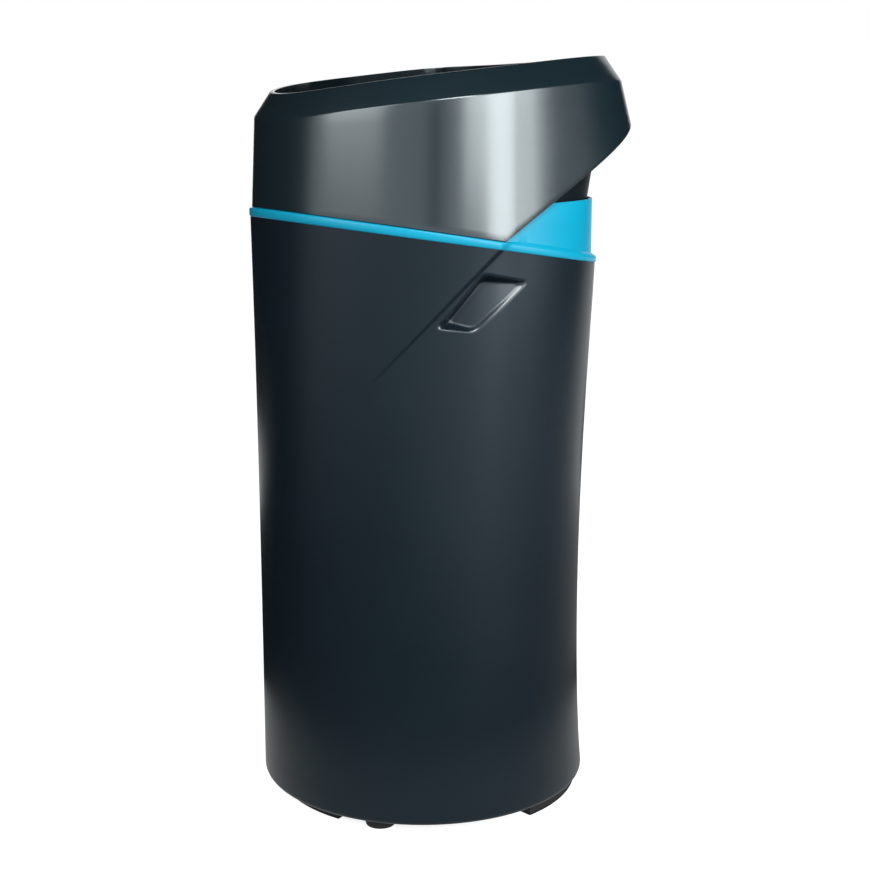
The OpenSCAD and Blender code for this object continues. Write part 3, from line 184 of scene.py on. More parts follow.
# A sheet rolled into a tube: one column of points for each angle, one row for each ring of the section.
# The last row meets the first, or both open ends are filled flat.
def rolled(name, angles, rows, closed):
    bpy.ops.object.select_all(action="DESELECT")
    drawn = len(rows) + (1 if closed else 0)
    bpy.ops.mesh.primitive_grid_add(x_subdivisions=len(angles), y_subdivisions=drawn - 1)
    piece = bpy.context.object
    piece.name = name
    rings = [[row(a) for a in angles] for row in rows]
    points = []
    for k in range(drawn):
        ring = rings[k % len(rings)]
        points += ring + ring[:1]
    piece.data.vertices.foreach_set("co", [value for point in points for value in point])
    bpy.ops.object.mode_set(mode="EDIT")
    bpy.ops.mesh.select_all(action="SELECT")
    bpy.ops.mesh.remove_doubles(threshold=weld)
    if not closed:
        bpy.ops.mesh.select_all(action="DESELECT")
        bpy.ops.mesh.select_mode(type="EDGE")
        bpy.ops.mesh.select_non_manifold(extend=False, use_wire=False, use_multi_face=False,
                                         use_verts=False)
        bpy.ops.mesh.fill_holes(sides=0)
    bpy.ops.mesh.select_all(action="SELECT")
    bpy.ops.mesh.normals_make_consistent(inside=False)
    bpy.ops.object.mode_set(mode="OBJECT")
    return piece


def choose(piece):
    bpy.ops.object.select_all(action="DESELECT")
    piece.select_set(True)
    bpy.context.view_layer.objects.active = piece


def shade(piece, angle):
    choose(piece)
    bpy.ops.object.shade_smooth_by_angle(angle=math.radians(angle))


# A socket of a material whose arithmetic adds Math nodes
class Wire:
    def __init__(self, finish, socket):
        self.finish = finish
        self.socket = socket

    def sum(self, operation, first, second):
        return self.finish.node("ShaderNodeMath", {"operation": operation}, {0: first, 1: second})

    def __add__(self, other):
        return self.sum("ADD", self, other)

    def __mul__(self, other):
        return self.sum("MULTIPLY", self, other)

    __radd__ = __add__
    __rmul__ = __mul__


# A node material round one Principled shader; numbers given by name are set on its sockets
class Finish:
    mix_share = 0
    mix_first = 6
    mix_second = 7
    mix_colour = 2

    def __init__(self, name, **constants):
        self.material = bpy.data.materials.new(name)
        self.material.use_nodes = True
        self.tree = self.material.node_tree
        self.shader = self.tree.nodes["Principled BSDF"]
        for key, value in constants.items():
            self.shader.inputs[key.replace("_", " ")].default_value = value
        self.place = self.node("ShaderNodeTexCoord", output="Object")

    def node(self, kind, settings=None, sockets=None, output=0):
        made = self.tree.nodes.new(kind)
        for key, value in (settings or {}).items():
            setattr(made, key, value)
        for key, value in (sockets or {}).items():
            self.feed(made.inputs[key], value)
        return Wire(self, made.outputs[output])

    def feed(self, socket, value):
        if isinstance(value, Wire):
            self.tree.links.new(value.socket, socket)
        else:
            socket.default_value = value

    def noise(self, scale, detail=3.0):
        sockets = {"Vector": self.place, "Scale": scale, "Detail": detail}
        return self.node("ShaderNodeTexNoise", {}, sockets)

    def mix(self, share, first, second):
        sockets = {self.mix_share: share, self.mix_first: (*first, 1), self.mix_second: (*second, 1)}
        return self.node("ShaderNodeMix", {"data_type": "RGBA"}, sockets, output=self.mix_colour)

    def set(self, **values):
        for key, value in values.items():
            self.feed(self.shader.inputs[key.replace("_", " ")], value)

    def bump(self, height, depth):
        sockets = {"Strength": 1.0, "Distance": depth, "Height": height}
        self.set(Normal=self.node("ShaderNodeBump", {}, sockets))


drift_scale = 9.0
drift_share = 0.1
grain_detail = 2.0
gloss_gain = 0.04
drift_loss = 0.05
grain_loss = 0.03


# Moulded plastic: slow drift in colour and gloss over the surface and a fine grain in its skin
def grained(name, colour, roughness, grain, depth, **constants):
    finish = Finish(name, **constants)
    drift = finish.noise(drift_scale)
    darker = [c * (1 - drift_share) for c in colour]
    lighter = [c * (1 + drift_share) for c in colour]
    finish.set(Base_Color=finish.mix(drift, darker, lighter))
    grains = finish.noise(grain, grain_detail)
    finish.set(Roughness=roughness - gloss_gain + drift_loss * drift + grain_loss * grains)
    finish.bump(grains, depth)
    return finish


def moulded(name, **values):
    return grained(name, **values).material


def dress(piece, material, body, slot, *replaced):
    piece.data.materials.clear()
    piece.data.materials.append(material)
    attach(piece, body)
    if replaced:
        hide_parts(*replaced)
    return piece


def paint(material, *names):
    for name in names:
        nodes[name].data.materials.clear()
        nodes[name].data.materials.append(material)


body_low = foot_h + bottom_edge
edge_turn = 15
coarse_steps = 30
coarse_rows = 23
fine_from = 0.76
fine_steps = 112
inner_fine = 5
inner_coarse = 4
body_angles = side_angles(fine=0.35, coarse=2.4)
coarse_shares = [k / coarse_steps for k in range(coarse_rows)]
fine_shares = [fine_from + (1 - fine_from) * k / fine_steps for k in range(fine_steps + 1)]
inner_shares = fine_shares[::-inner_fine] + coarse_shares[:1:-inner_coarse]


def wall_row(inset, share):
    def ring(a):
        z = body_low + (parting(a) - body_low) * share
        return polar(a, moulded_r(a, z) - inset, z)
    return ring


def base_row(inset, z):
    return lambda a: polar(a, body_r(a, z) - inset, z)


cabinet_rows = []
for turn in range(90, 0, -edge_turn):
    t = math.radians(turn)
    edge_in = bottom_edge * (1 - math.cos(t))
    edge_up = bottom_edge * (1 - math.sin(t))
    cabinet_rows.append(base_row(edge_in, foot_h + edge_up))
cabinet_rows += [wall_row(0, share) for share in coarse_shares + fine_shares]
cabinet_rows += [wall_row(cabinet_wall, share) for share in inner_shares]
cabinet_rows.append(base_row(cabinet_wall, floor_z + bottom_edge))
cabinet_rows.append(base_row(cabinet_wall + bottom_edge, floor_z))
cabinet = rolled("salt_cabinet", body_angles, cabinet_rows, closed=False)
shade(cabinet, angle=40)

floor_loss = 0.85
polished_rim = 0.0008
polished_depth = 0.006
chart_v = 0.5


# Gloss of a point in the pocket: none on the outer wall, most along the rim, little on the floor
def polish(point):
    a = math.atan2(point.x, point.y)
    depth = pocket_in(body_r(a, point.z) * math.cos(a), point.z)
    return min(1.0, depth / polished_rim) * (1 - floor_loss * smooth(depth / polished_depth))


shares = [polish(vertex.co) for vertex in cabinet.data.vertices]
chart = []
for loop in cabinet.data.loops:
    chart += [shares[loop.vertex_index], chart_v]
cabinet.data.uv_layers.active.data.foreach_set("uv", chart)
cool = (0.78, 0.93, 1.0, 1.0)
anthracite = grained("anthracite_grain", colour=(0.0030, 0.0070, 0.0108), roughness=0.35, grain=1400,
                     depth=0.00005, Specular_IOR_Level=0.28, Specular_Tint=cool, Coat_Roughness=0.16)
pocket_chart = anthracite.node("ShaderNodeTexCoord", output="UV")
anthracite.set(Coat_Weight=anthracite.node("ShaderNodeSeparateXYZ", {}, {"Vector": pocket_chart}))
dress(cabinet, anthracite.material, "cabinet", "anthracite", "cabinet")

# Feet
# Three curved pads and two round feet of black rubber, pushed into the underside of the tub.

foot_rubber = moulded("foot_rubber", colour=(0.012, 0.013, 0.014), roughness=0.7, grain=700, depth=0.00008,
                      Specular_IOR_Level=0.3)
paint(foot_rubber, "foot_pads", "round_feet")

# Accent rim
# A ring moulded in blue plastic, clipped over the edge of the tub. Its band shows all round under the
# lid, and behind the lid's corner it rises into a collar.

band_h = 0.011
band_taper = 0.008
band_bulge = 0.0012
band_round = 0.18
collar_step = 0.0082
collar_wall = 0.004
collar_in = collar_step + collar_wall
collar_z = 0.889
collar_rise = 0.03
collar_least = 0.006
lip_h = 0.014
ledge_rise = 0.004
ledge_spread = 6 * ledge_rise
lid_rear_low = 0.292
lid_rear_high = 0.226
lid_front_high = 0.237
lid_half_high = 0.274
lid_square = 4.5
chamfer_z = 1.0285
overhang_z = 0.8525
overhang_rise = 0.676
seat_gap = 0.00025
fit_gap = 0.0004


def stepped_r(a, z):
    r = body_r(a, z)
    return r - crease_step(r * math.cos(a), z)


def band_top(a):
    return plane_cut(body_r, a, parting_z + band_h, -parting_fall - band_taper)


def band_row(share, bulge):
    def ring(a):
        z = parting(a) + seat_gap + (band_top(a) - parting(a) - seat_gap) * share
        return polar(a, stepped_r(a, z) + bulge, z)
    return ring


def lip_row(inset, drop):
    def ring(a):
        z = parting(a) + seat_gap - drop
        return polar(a, stepped_r(a, z) - inset, z)
    return ring


# Outline of the lid's walls, which lean in as they rise
def lid_r(a, z):
    up = (z - parting_z) / (chamfer_z - parting_z)
    front = base_r + (lid_front_high - base_r) * up
    rear = lid_rear_low + (lid_rear_high - lid_rear_low) * up
    return outline(a, front, rear, top_half_w + (lid_half_high - top_half_w) * up, lid_square)


def overhang(a):
    return plane_cut(lid_r, a, overhang_z, overhang_rise)


# The ledge round the collar slopes up to it where the lid leaves it open
def ledge(a):
    return band_top(a) + ledge_rise * smooth((overhang(a) - band_top(a)) / ledge_spread)


def collar_row(inset, share):
    def ring(a):
        low = ledge(a) if share == 0 and inset == collar_step else band_top(a)
        high = max(low + collar_least, plane_cut(body_r, a, collar_z, collar_rise))
        return polar(a, body_r(a, band_top(a)) - inset, low + (high - low) * share)
    return ring


def soften(piece, width, segments, angle):
    choose(piece)
    edge = piece.modifiers.new("edges", "BEVEL")
    edge.width = width
    edge.segments = segments
    edge.limit_method = "ANGLE"
    edge.angle_limit = math.radians(angle)
    bpy.ops.object.modifier_apply(modifier=edge.name)


rim_angles = side_angles(fine=0.5, coarse=1.0)
rim_rows = [band_row(0, 0), band_row(band_round, band_bulge), band_row(1 - band_round, band_bulge)]
rim_rows += [band_row(1, 0)]
rim_rows += [collar_row(collar_step, 0), collar_row(collar_step, 0.5), collar_row(collar_step, 1)]
rim_rows += [collar_row(collar_in, 1), collar_row(collar_in, 0), lip_row(collar_in, lip_h)]
rim_rows += [lip_row(cabinet_wall + fit_gap, lip_h), lip_row(cabinet_wall + fit_gap, 0)]
rim = rolled("accent_rim_moulding", rim_angles, rim_rows, closed=True)
soften(rim, width=0.0009, segments=3, angle=38)
shade(rim, angle=40)
rim_blue = moulded("rim_blue", colour=(0.0, 0.225, 0.35), roughness=0.38, grain=1200, depth=0.00003,
                   Specular_IOR_Level=0.28)
dress(rim, rim_blue, "cabinet", "accent_blue", "accent_rim")

# Resin tank
# A blow-moulded liner wound with glass fibre and resin, standing on the floor of the tub. The riser tube
# and strainers inside it are white polypropylene.

fibre_dark = (0.012, 0.055, 0.13)
fibre_light = (0.03, 0.10, 0.20)
fibre_rough = 0.34
strand_rough = 0.12
winding = Finish("wound_fibre", Coat_Weight=0.25, Coat_Roughness=0.2)
strands = winding.node("ShaderNodeTexWave", {"bands_direction": "DIAGONAL"},
                       {"Vector": winding.place, "Scale": 60.0, "Distortion": 3.0, "Detail": 2.0})
winding.set(Base_Color=winding.mix(strands, fibre_dark, fibre_light))
winding.set(Roughness=fibre_rough + strand_rough * strands)
winding.bump(strands, depth=0.0003)
paint(winding.material, "resin_tank")
white_plastic = moulded("white_plastic", colour=(0.66, 0.67, 0.64), roughness=0.42, grain=900, depth=0.00004)
paint(white_plastic, "riser_tube", "lower_strainer", "upper_strainer")

# Valve
# The control valve is glass-filled black plastic held to the tank's neck by a clamp. Its rotor and cam
# gear are white acetal, the pinion brass, and screws, washer and motor case plated steel.

valve_black = moulded("glass_filled_black", colour=(0.020, 0.022, 0.025), roughness=0.5, grain=500,
                      depth=0.00012)
paint(valve_black, "neck_clamp", "valve_body", "valve_cover", "position_switch", "venturi_body",
      "venturi_cap")
paint(white_plastic, "rotor_disc", "cam_gear", "turbine", "turbine_support")
seal_rubber = moulded("seal_rubber", colour=(0.010, 0.010, 0.011), roughness=0.62, grain=800, depth=0.00005)
paint(seal_rubber, "neck_o_ring", "rotor_seal", "venturi_o_ring", "spool_o_rings", "overflow_grommet")

mark_scale = 1500
mark_detail = 4.0
mark_dark = 0.85
mark_rough = 0.12


# Plated or machined metal with fine turning marks
def metal(name, colour, roughness):
    finish = Finish(name, Metallic=1.0)
    marks = finish.noise(mark_scale, mark_detail)
    finish.set(Base_Color=finish.mix(marks, [c * mark_dark for c in colour], colour))
    finish.set(Roughness=roughness - mark_rough / 2 + mark_rough * marks)
    finish.bump(marks, depth=0.00002)
    return finish.material


plated_steel = metal("plated_steel", colour=(0.62, 0.63, 0.65), roughness=0.3)
paint(plated_steel, "wave_washer", "cover_screws", "drive_motor", "motor_screws", "hinge_pins",
      "board_screws")
paint(metal("machined_brass", colour=(0.70, 0.52, 0.22), roughness=0.28), "motor_pinion")

# Plumbing
# The bypass is moulded like the valve, with a red knob on its spool; clips and spigots are white or black
# plastic pushed into their sockets.

paint(valve_black, "bypass_body", "overflow_elbow", "power_socket")
knob_red = moulded("knob_red", colour=(0.46, 0.012, 0.010), roughness=0.35, grain=900, depth=0.00003)
paint(knob_red, "bypass_spool")
paint(white_plastic, "port_clips", "drain_elbow")

# Brine well
# A white tube beside the tank keeps salt away from the float and its pickup valve; a clear hose joins it
# to the valve's venturi.

paint(white_plastic, "brine_well", "brine_valve", "float")
paint(valve_black, "well_cap")
hose_clear = moulded("hose_clear", colour=(0.55, 0.57, 0.56), roughness=0.25, grain=600, depth=0.00003,
                     Coat_Weight=0.3)
paint(hose_clear, "brine_hose")

# Lid
# One large moulding in satin grey plastic. Its lower edge follows the blue band to a corner on each side
# and then climbs to the rear overhang; a broad chamfer leads to the rim of the tray.

chamfer_rise = 0.11
rim_front = 0.217
rim_rear = 0.206
rim_half = 0.244
top_z = 1.0613
top_tilt = math.radians(6.8)
lid_crown = 0.0075
crown_power = 4
lid_wall = 0.003
lid_lip = 0.003
lip_deep = 0.014
wall_shares = (0, 0.06, 0.15, 0.3, 0.45, 0.6, 0.75, 0.88, 1)
chamfer_shares = (0.33, 0.66)
inside_shares = (0.6, 0.3, 0)


def rim_r(a):
    return outline(a, rim_front, rim_rear, rim_half, lid_square)


# A point given in the tilted top plane
def tilted(a, r, z):
    y = r * math.cos(a)
    return (r * math.sin(a), y * math.cos(top_tilt) - z * math.sin(top_tilt),
            top_z + y * math.sin(top_tilt) + z * math.cos(top_tilt))


def lid_low(a):
    return max(band_top(a) + seat_gap, overhang(a))


# Height of the arch of the lid's top edge and chamfer, from front to rear
def arch(y):
    return lid_crown * (1 - (y / rim_front) ** crown_power)


def chamfer(a):
    z = chamfer_z
    for _ in range(cut_rounds):
        y = lid_r(a, z) * math.cos(a)
        z = chamfer_z + chamfer_rise * y + arch(y)
    return z


def lid_row(inset, share):
    def ring(a):
        z = lid_low(a) + (chamfer(a) - lid_low(a)) * share
        return polar(a, lid_r(a, z) - inset, z)
    return ring


def top_row(inset, z):
    return lambda a: tilted(a, rim_r(a) - inset, z + arch(rim_r(a) * math.cos(a)))


def chamfer_row(share):
    def ring(a):
        low = polar(a, lid_r(a, chamfer(a)), chamfer(a))
        high = tilted(a, rim_r(a), arch(rim_r(a) * math.cos(a)))
        return tuple(p + (q - p) * share for p, q in zip(low, high))
    return ring


def under_chamfer(a):
    z = chamfer(a) - 2 * lid_wall
    return polar(a, lid_r(a, z) - lid_wall, z)


lid_rows = [lid_row(0, share) for share in wall_shares]
lid_rows += [chamfer_row(share) for share in chamfer_shares]
lid_rows += [top_row(0, 0), top_row(lid_lip, 0), top_row(lid_lip, -lip_deep), under_chamfer]
lid_rows += [lid_row(lid_wall, share) for share in inside_shares]
lid = rolled("lid_moulding", rim_angles, lid_rows, closed=True)
soften(lid, width=0.0026, segments=4, angle=24)
shade(lid, angle=34)
lid_tint = (0.88, 0.97, 0.99, 1.0)
lid_grey = moulded("lid_satin", colour=(0.0045, 0.0110, 0.0150), roughness=0.24, grain=1600, depth=0.00002,
                   Specular_IOR_Level=1.0, Specular_Tint=lid_tint)
dress(lid, lid_grey, "lid", "lid_grey", "lid_shell")

# Rear shroud
# A matt black wall stands inside the collar and carries the ledge that closes the overhang from below. It
# is moulded in one and screwed to the lid; a notch clears the pipes when the lid is lifted.

shroud_wall = 0.004
shroud_low = 0.868
shroud_reach = math.radians(76)
shroud_columns = 160
shroud_rows = 40
ledge_share = 0.1
neck_low_inset = 0.0185
neck_high_inset = 0.012
neck_lean_top = 0.930
notch_half = 0.092
notch_top = 0.955
notch_front = 0.10
notch_rear = 0.30
notch_past = 0.01
socket_r = 0.009
socket_cut = 0.06


def neck_r(a, z):
    lean = min(1.0, max(0.0, (neck_lean_top - z) / (neck_lean_top - collar_z)))
    inset = neck_high_inset + (neck_low_inset - neck_high_inset) * lean
    return body_r(a, parting_z + band_h) - inset


# A point of the shroud's outer face: in along the ledge for the first share, then down the wall
def shroud_point(a, share):
    z = overhang(a)
    edge = lid_r(a, z) - lid_wall - fit_gap
    neck = neck_r(a, z)
    if share < ledge_share:
        return polar(a, edge + (neck - edge) * share / ledge_share, z)
    down = z + (shroud_low - z) * (share - ledge_share) / (1 - ledge_share)
    return polar(a, neck_r(a, down), down)


def strip(name, reach, columns, rows, point):
    bpy.ops.object.select_all(action="DESELECT")
    bpy.ops.mesh.primitive_grid_add(x_subdivisions=columns, y_subdivisions=rows)
    piece = bpy.context.object
    piece.name = name
    points = []
    for k in range(rows + 1):
        for i in range(columns + 1):
            points += point(-reach + 2 * reach * i / columns, k / rows)
    piece.data.vertices.foreach_set("co", points)
    return piece


# Gives a sheet its wall on the inner side
def thicken(piece, wall):
    choose(piece)
    solid = piece.modifiers.new("wall", "SOLIDIFY")
    solid.thickness = wall
    solid.offset = -1
    bpy.ops.object.modifier_apply(modifier=solid.name)


# Takes a cutter's shape out of a piece and removes the cutter
def carve(piece, cutter):
    choose(piece)
    cut = piece.modifiers.new("cut", "BOOLEAN")
    cut.object = cutter
    cut.solver = "EXACT"
    bpy.ops.object.modifier_apply(modifier=cut.name)
    bpy.data.objects.remove(cutter)


def middle(low, high):
    return [(a + b) / 2 for a, b in zip(low, high)]


def block(low, high):
    bpy.ops.object.select_all(action="DESELECT")
    bpy.ops.mesh.primitive_cube_add(size=1)
    made = bpy.context.object
    made.scale = [b - a for a, b in zip(low, high)]
    made.location = middle(low, high)
    bpy.ops.object.transform_apply(location=True, rotation=True, scale=True)
    return made


def rod(place, radius, length, axis, sides=64):
    bpy.ops.object.select_all(action="DESELECT")
    bpy.ops.mesh.primitive_cylinder_add(vertices=sides, radius=radius, depth=length)
    made = bpy.context.object
    made.rotation_euler = {"X": (0, math.pi / 2, 0), "Y": (math.pi / 2, 0, 0), "Z": (0, 0, 0)}[axis]
    made.location = place
    bpy.ops.object.transform_apply(location=True, rotation=True, scale=True)
    return made


shroud = strip("rear_shroud_moulding", shroud_reach, shroud_columns, shroud_rows, shroud_point)
thicken(shroud, shroud_wall)
notch_low_corner = (-notch_half, notch_front, shroud_low - notch_past)
notch_high_corner = (notch_half, notch_rear, notch_top)
carve(shroud, block(notch_low_corner, notch_high_corner))
carve(shroud, rod(middle(*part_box("power_socket")), socket_r, socket_cut, "Y"))
shade(shroud, angle=35)
shroud_black = moulded("shroud_matt", colour=(0.004, 0.007, 0.009), roughness=0.5, grain=900, depth=0.00006,
                       Specular_IOR_Level=0.2, Specular_Tint=cool)
dress(shroud, shroud_black, "lid", "shroud_black", "rear_shroud")

# Tray and salt door
# The tray in the top of the lid is polished black plastic. The salt door lies in its front half and swings
# up on two steel pins; a rubber seal runs round the salt hole below it.

tray_deep = 0.026
tray_wall = 0.003
tray_inset = lid_lip + fit_gap
tray_in = tray_inset + tray_wall
deck = -0.012
door_t = 0.0095
door_plate = 0.003
door_gap = 0.0008
hinge_x = 0.080
hinge_y = 0.0285
hinge_z = deck - 0.001
hinge_clear = 0.002
barrel_r = 0.0045
barrel_sides = 48
pin_r = 0.00258
pin_sides = 32
knuckle_w = 0.030
leaf_lap = 0.004
lug_t = 0.008
lug_gap = 0.0006
lug_round = barrel_r * 0.9
hole_inset = tray_in + 0.022
hole_y = hinge_y - 0.016
hollow_gap = 0.001
door_rear = hinge_y - barrel_r - hinge_clear
finger_r = 0.032
finger_out = 0.012
finger_cut = 0.05
finger_sides = 96
round_angles = [math.radians(k) for k in range(360)]


# A flat plate with the tray's outline, kept in front of or behind a line, and drawn down to a thickness
def deck_plate(name, inset, front_limit, rear_limit, top, thickness):
    bpy.ops.object.select_all(action="DESELECT")
    bpy.ops.mesh.primitive_circle_add(vertices=len(round_angles), fill_type="NGON")
    piece = bpy.context.object
    piece.name = name
    points = []
    for a in round_angles:
        points += polar(a, rim_r(a) - inset, top)
    piece.data.vertices.foreach_set("co", points)
    bpy.ops.object.mode_set(mode="EDIT")
    for limit, keep in ((rear_limit, 1), (front_limit, -1)):
        if limit is not None:
            bpy.ops.mesh.select_all(action="SELECT")
            bpy.ops.mesh.bisect(plane_co=(0, limit, 0), plane_no=(0, keep, 0), clear_outer=True,
                                use_fill=False)
    bpy.ops.mesh.select_all(action="SELECT")
    bpy.ops.mesh.extrude_region_move(TRANSFORM_OT_translate={"value": (0, 0, -thickness)})
    bpy.ops.mesh.select_all(action="SELECT")
    bpy.ops.mesh.normals_make_consistent(inside=False)
    bpy.ops.object.mode_set(mode="OBJECT")
    return piece


# Sets a piece that was made level into the tilted top plane
def onto_lid(piece):
    choose(piece)
    piece.rotation_euler = (top_tilt, 0, 0)
    piece.location = (0, 0, top_z)
    bpy.ops.object.transform_apply(location=True, rotation=True, scale=True)


def joined(piece, *others):
    choose(piece)
    for other in others:
        other.select_set(True)
    bpy.ops.object.join()
    return piece


# Leaves large faces flat up to their softened edges
def level_faces(piece):
    choose(piece)
    faces = piece.modifiers.new("faces", "WEIGHTED_NORMAL")
    faces.keep_sharp = True
    bpy.ops.object.modifier_apply(modifier=faces.name)


def level_row(inset, z):
    return lambda a: polar(a, rim_r(a) - inset, z)


def arched_row(inset):
    return lambda a: polar(a, rim_r(a) - inset, arch(rim_r(a) * math.cos(a)))


tray_rows = [level_row(tray_inset, -tray_deep - tray_wall), arched_row(tray_inset)]
tray_rows += [arched_row(tray_in), level_row(tray_in, -tray_deep)]
tray = rolled("top_tray_moulding", round_angles, tray_rows, closed=False)
hole = deck_plate("salt_hole", hole_inset, None, hole_y, top=0, thickness=tray_deep + 2 * tray_wall)
carve(tray, hole)
soften(tray, width=0.0006, segments=2, angle=40)
lugs = []
for side in (-1, 1):
    for end in (-1, 1):
        x = side * hinge_x + end * (knuckle_w / 2 + lug_gap + lug_t / 2)
        lug_low = (x - lug_t / 2, hinge_y - barrel_r, -tray_deep)
        lug_high = (x + lug_t / 2, hinge_y + barrel_r, hinge_z + barrel_r)
        lug = block(lug_low, lug_high)
        soften(lug, width=lug_round, segments=6, angle=60)
        carve(lug, rod((x, hinge_y, hinge_z), pin_r, 2 * lug_t, "X", pin_sides))
        lugs.append(lug)
joined(tray, *lugs)
onto_lid(tray)
shade(tray, angle=35)
level_faces(tray)
deck_black = moulded("deck_polished", colour=(0.003, 0.006, 0.008), roughness=0.12, grain=60, depth=0.00002,
                     Specular_Tint=cool, Coat_Weight=0.7, Coat_Roughness=0.05)
dress(tray, deck_black, "lid", "deck_black", "top_tray")

door = deck_plate("salt_door_panel", tray_in + door_gap, None, door_rear, deck, door_t)
hollow = deck_plate("door_hollow", hole_inset + hollow_gap, None, hole_y - hollow_gap, deck - door_plate,
                    door_t)
carve(door, hollow)
carve(door, rod((0, tray_in - rim_front - finger_out, deck), finger_r, finger_cut, "Z", finger_sides))
soften(door, width=0.0016, segments=3, angle=40)
knuckles = []
for side in (-1, 1):
    x = side * hinge_x
    leaf_low = (x - knuckle_w / 2, door_rear - leaf_lap, deck - barrel_r)
    leaf_high = (x + knuckle_w / 2, hinge_y, deck)
    leaf = block(leaf_low, leaf_high)
    barrel = rod((x, hinge_y, hinge_z), barrel_r, knuckle_w, "X", barrel_sides)
    knuckles.append(joined(barrel, leaf))
joined(door, *knuckles)
onto_lid(door)
shade(door, angle=35)
level_faces(door)
door_black = moulded("door_satin", colour=(0.013, 0.017, 0.020), roughness=0.28, grain=1300, depth=0.00003,
                     Coat_Weight=0.15, Coat_Roughness=0.12)
dress(door, door_black, "salt_door", "deck_black", "salt_door")
paint(seal_rubber, "door_seal")

# Controls
# A polished fascia fills the rear half of the tray. A tinted window covers the display, and four soft grey
# keys pass through it to switches on the circuit board below.

fascia_y = hinge_y + barrel_r + hinge_clear
fascia_t = 0.003
key_count = 4
key_hole_r = 0.0073
key_hole_cut = 0.02
key_hole_sides = 48
key_y = fascia_y + 0.026
key_pitch = 0.032
display_y = key_y + 0.048
display_half_w = 0.055
display_half_h = 0.020
display_cut = 0.01
skirt_inset = tray_in + 0.012
skirt_lift = 0.0003
fascia = deck_plate("control_fascia_panel", tray_in + fit_gap, fascia_y, None, deck, fascia_t)
for k in range(key_count):
    key_x = (k - (key_count - 1) / 2) * key_pitch
    carve(fascia, rod((key_x, key_y, deck), key_hole_r, key_hole_cut, "Z", key_hole_sides))
opening_low = (-display_half_w, display_y - display_half_h, deck - display_cut)
opening_high = (display_half_w, display_y + display_half_h, deck + display_cut)
carve(fascia, block(opening_low, opening_high))
soften(fascia, width=0.0007, segments=2, angle=40)
skirt_low = (-rim_half + skirt_inset, fascia_y, -tray_deep + skirt_lift)
skirt_high = (rim_half - skirt_inset, fascia_y + fascia_t, deck - fascia_t)
joined(fascia, block(skirt_low, skirt_high))
onto_lid(fascia)
shade(fascia, angle=35)
level_faces(fascia)
dress(fascia, deck_black, "lid", "deck_black", "control_fascia")
key_grey = moulded("key_soft_grey", colour=(0.10, 0.115, 0.125), roughness=0.55, grain=1500, depth=0.00003)
paint(key_grey, "key_up", "key_down", "key_menu", "key_enter")

window_clear = (0.10, 0.14, 0.17)
window_smeared = (0.13, 0.17, 0.20)
window_rough = 0.03
smear_rough = 0.04
window = Finish("tinted_window", Transmission_Weight=0.7, IOR=1.49)
smear = window.noise(scale=40)
window.set(Base_Color=window.mix(smear, window_clear, window_smeared))
window.set(Roughness=window_rough + smear_rough * smear)
paint(window.material, "display_window")

cell_dark = (0.02, 0.05, 0.07)
cell_light = (0.03, 0.07, 0.09)
glow_dark = (0.01, 0.10, 0.15)
glow_light = (0.02, 0.14, 0.20)
display_rough = 0.3
pattern_rough = 0.1
glow = Finish("display_glow", Emission_Strength=0.6)
cells = glow.node("ShaderNodeTexChecker", {}, {"Vector": glow.place, "Scale": 900.0}, output=1)
glow.set(Base_Color=glow.mix(cells, cell_dark, cell_light))
glow.set(Roughness=display_rough + pattern_rough * cells)
glow.set(Emission_Color=glow.mix(cells, glow_dark, glow_light))
paint(glow.material, "display_module")

mask_green = (0.004, 0.06, 0.02)
track_green = (0.02, 0.16, 0.06)
board_rough = 0.35
board = Finish("solder_mask")
tracks = board.node("ShaderNodeTexBrick", {}, {"Vector": board.place, "Scale": 90.0, "Mortar Size": 0.03},
                    output=1)
board.set(Base_Color=board.mix(tracks, mask_green, track_green))
board.set(Roughness=board_rough + pattern_rough * tracks)
board.bump(tracks, depth=0.00004)
paint(board.material, "control_board")

# Studio
# A pale paper floor that keeps the shadow, in a white surround, with soft boxes to the right, in front and
# above. Dark and grey cards between them show only as reflections, and shape the highlights on the lid.

floor_size = 30
floor_grey = (0.5, 0.5, 0.5, 1)
floor_glow = 0.86
aim_height = 0.7
card_sides = 96
black = 0.01
dark_grey = 0.3
light_grey = 0.65
surround_white = (1, 1, 1, 1)
surround_light = 0.35
surround_seen = 1.0


def paper(name, surface):
    made = bpy.data.materials.new(name)
    made.use_nodes = True
    tree = made.node_tree
    tree.nodes.clear()
    out = tree.nodes.new("ShaderNodeOutputMaterial")
    tree.links.new(surface(tree), out.inputs["Surface"])
    return made


# One where the camera sees a surface straight, mirrored or through a window, and nought for its light
def seen_directly(tree):
    path = tree.nodes.new("ShaderNodeLightPath")
    total = path.outputs["Is Camera Ray"]
    for ray in ("Is Glossy Ray", "Is Transmission Ray"):
        either = tree.nodes.new("ShaderNodeMath")
        either.operation = "MAXIMUM"
        tree.links.new(total, either.inputs[0])
        tree.links.new(path.outputs[ray], either.inputs[1])
        total = either.outputs[0]
    return total


def floor_surface(tree):
    plain = tree.nodes.new("ShaderNodeBsdfDiffuse")
    plain.inputs["Color"].default_value = floor_grey
    bright = tree.nodes.new("ShaderNodeEmission")
    bright.inputs["Strength"].default_value = floor_glow
    both = tree.nodes.new("ShaderNodeAddShader")
    tree.links.new(plain.outputs[0], both.inputs[0])
    tree.links.new(bright.outputs[0], both.inputs[1])
    chosen = tree.nodes.new("ShaderNodeMixShader")
    tree.links.new(seen_directly(tree), chosen.inputs["Fac"])
    tree.links.new(plain.outputs[0], chosen.inputs[1])
    tree.links.new(both.outputs[0], chosen.inputs[2])
    return chosen.outputs[0]


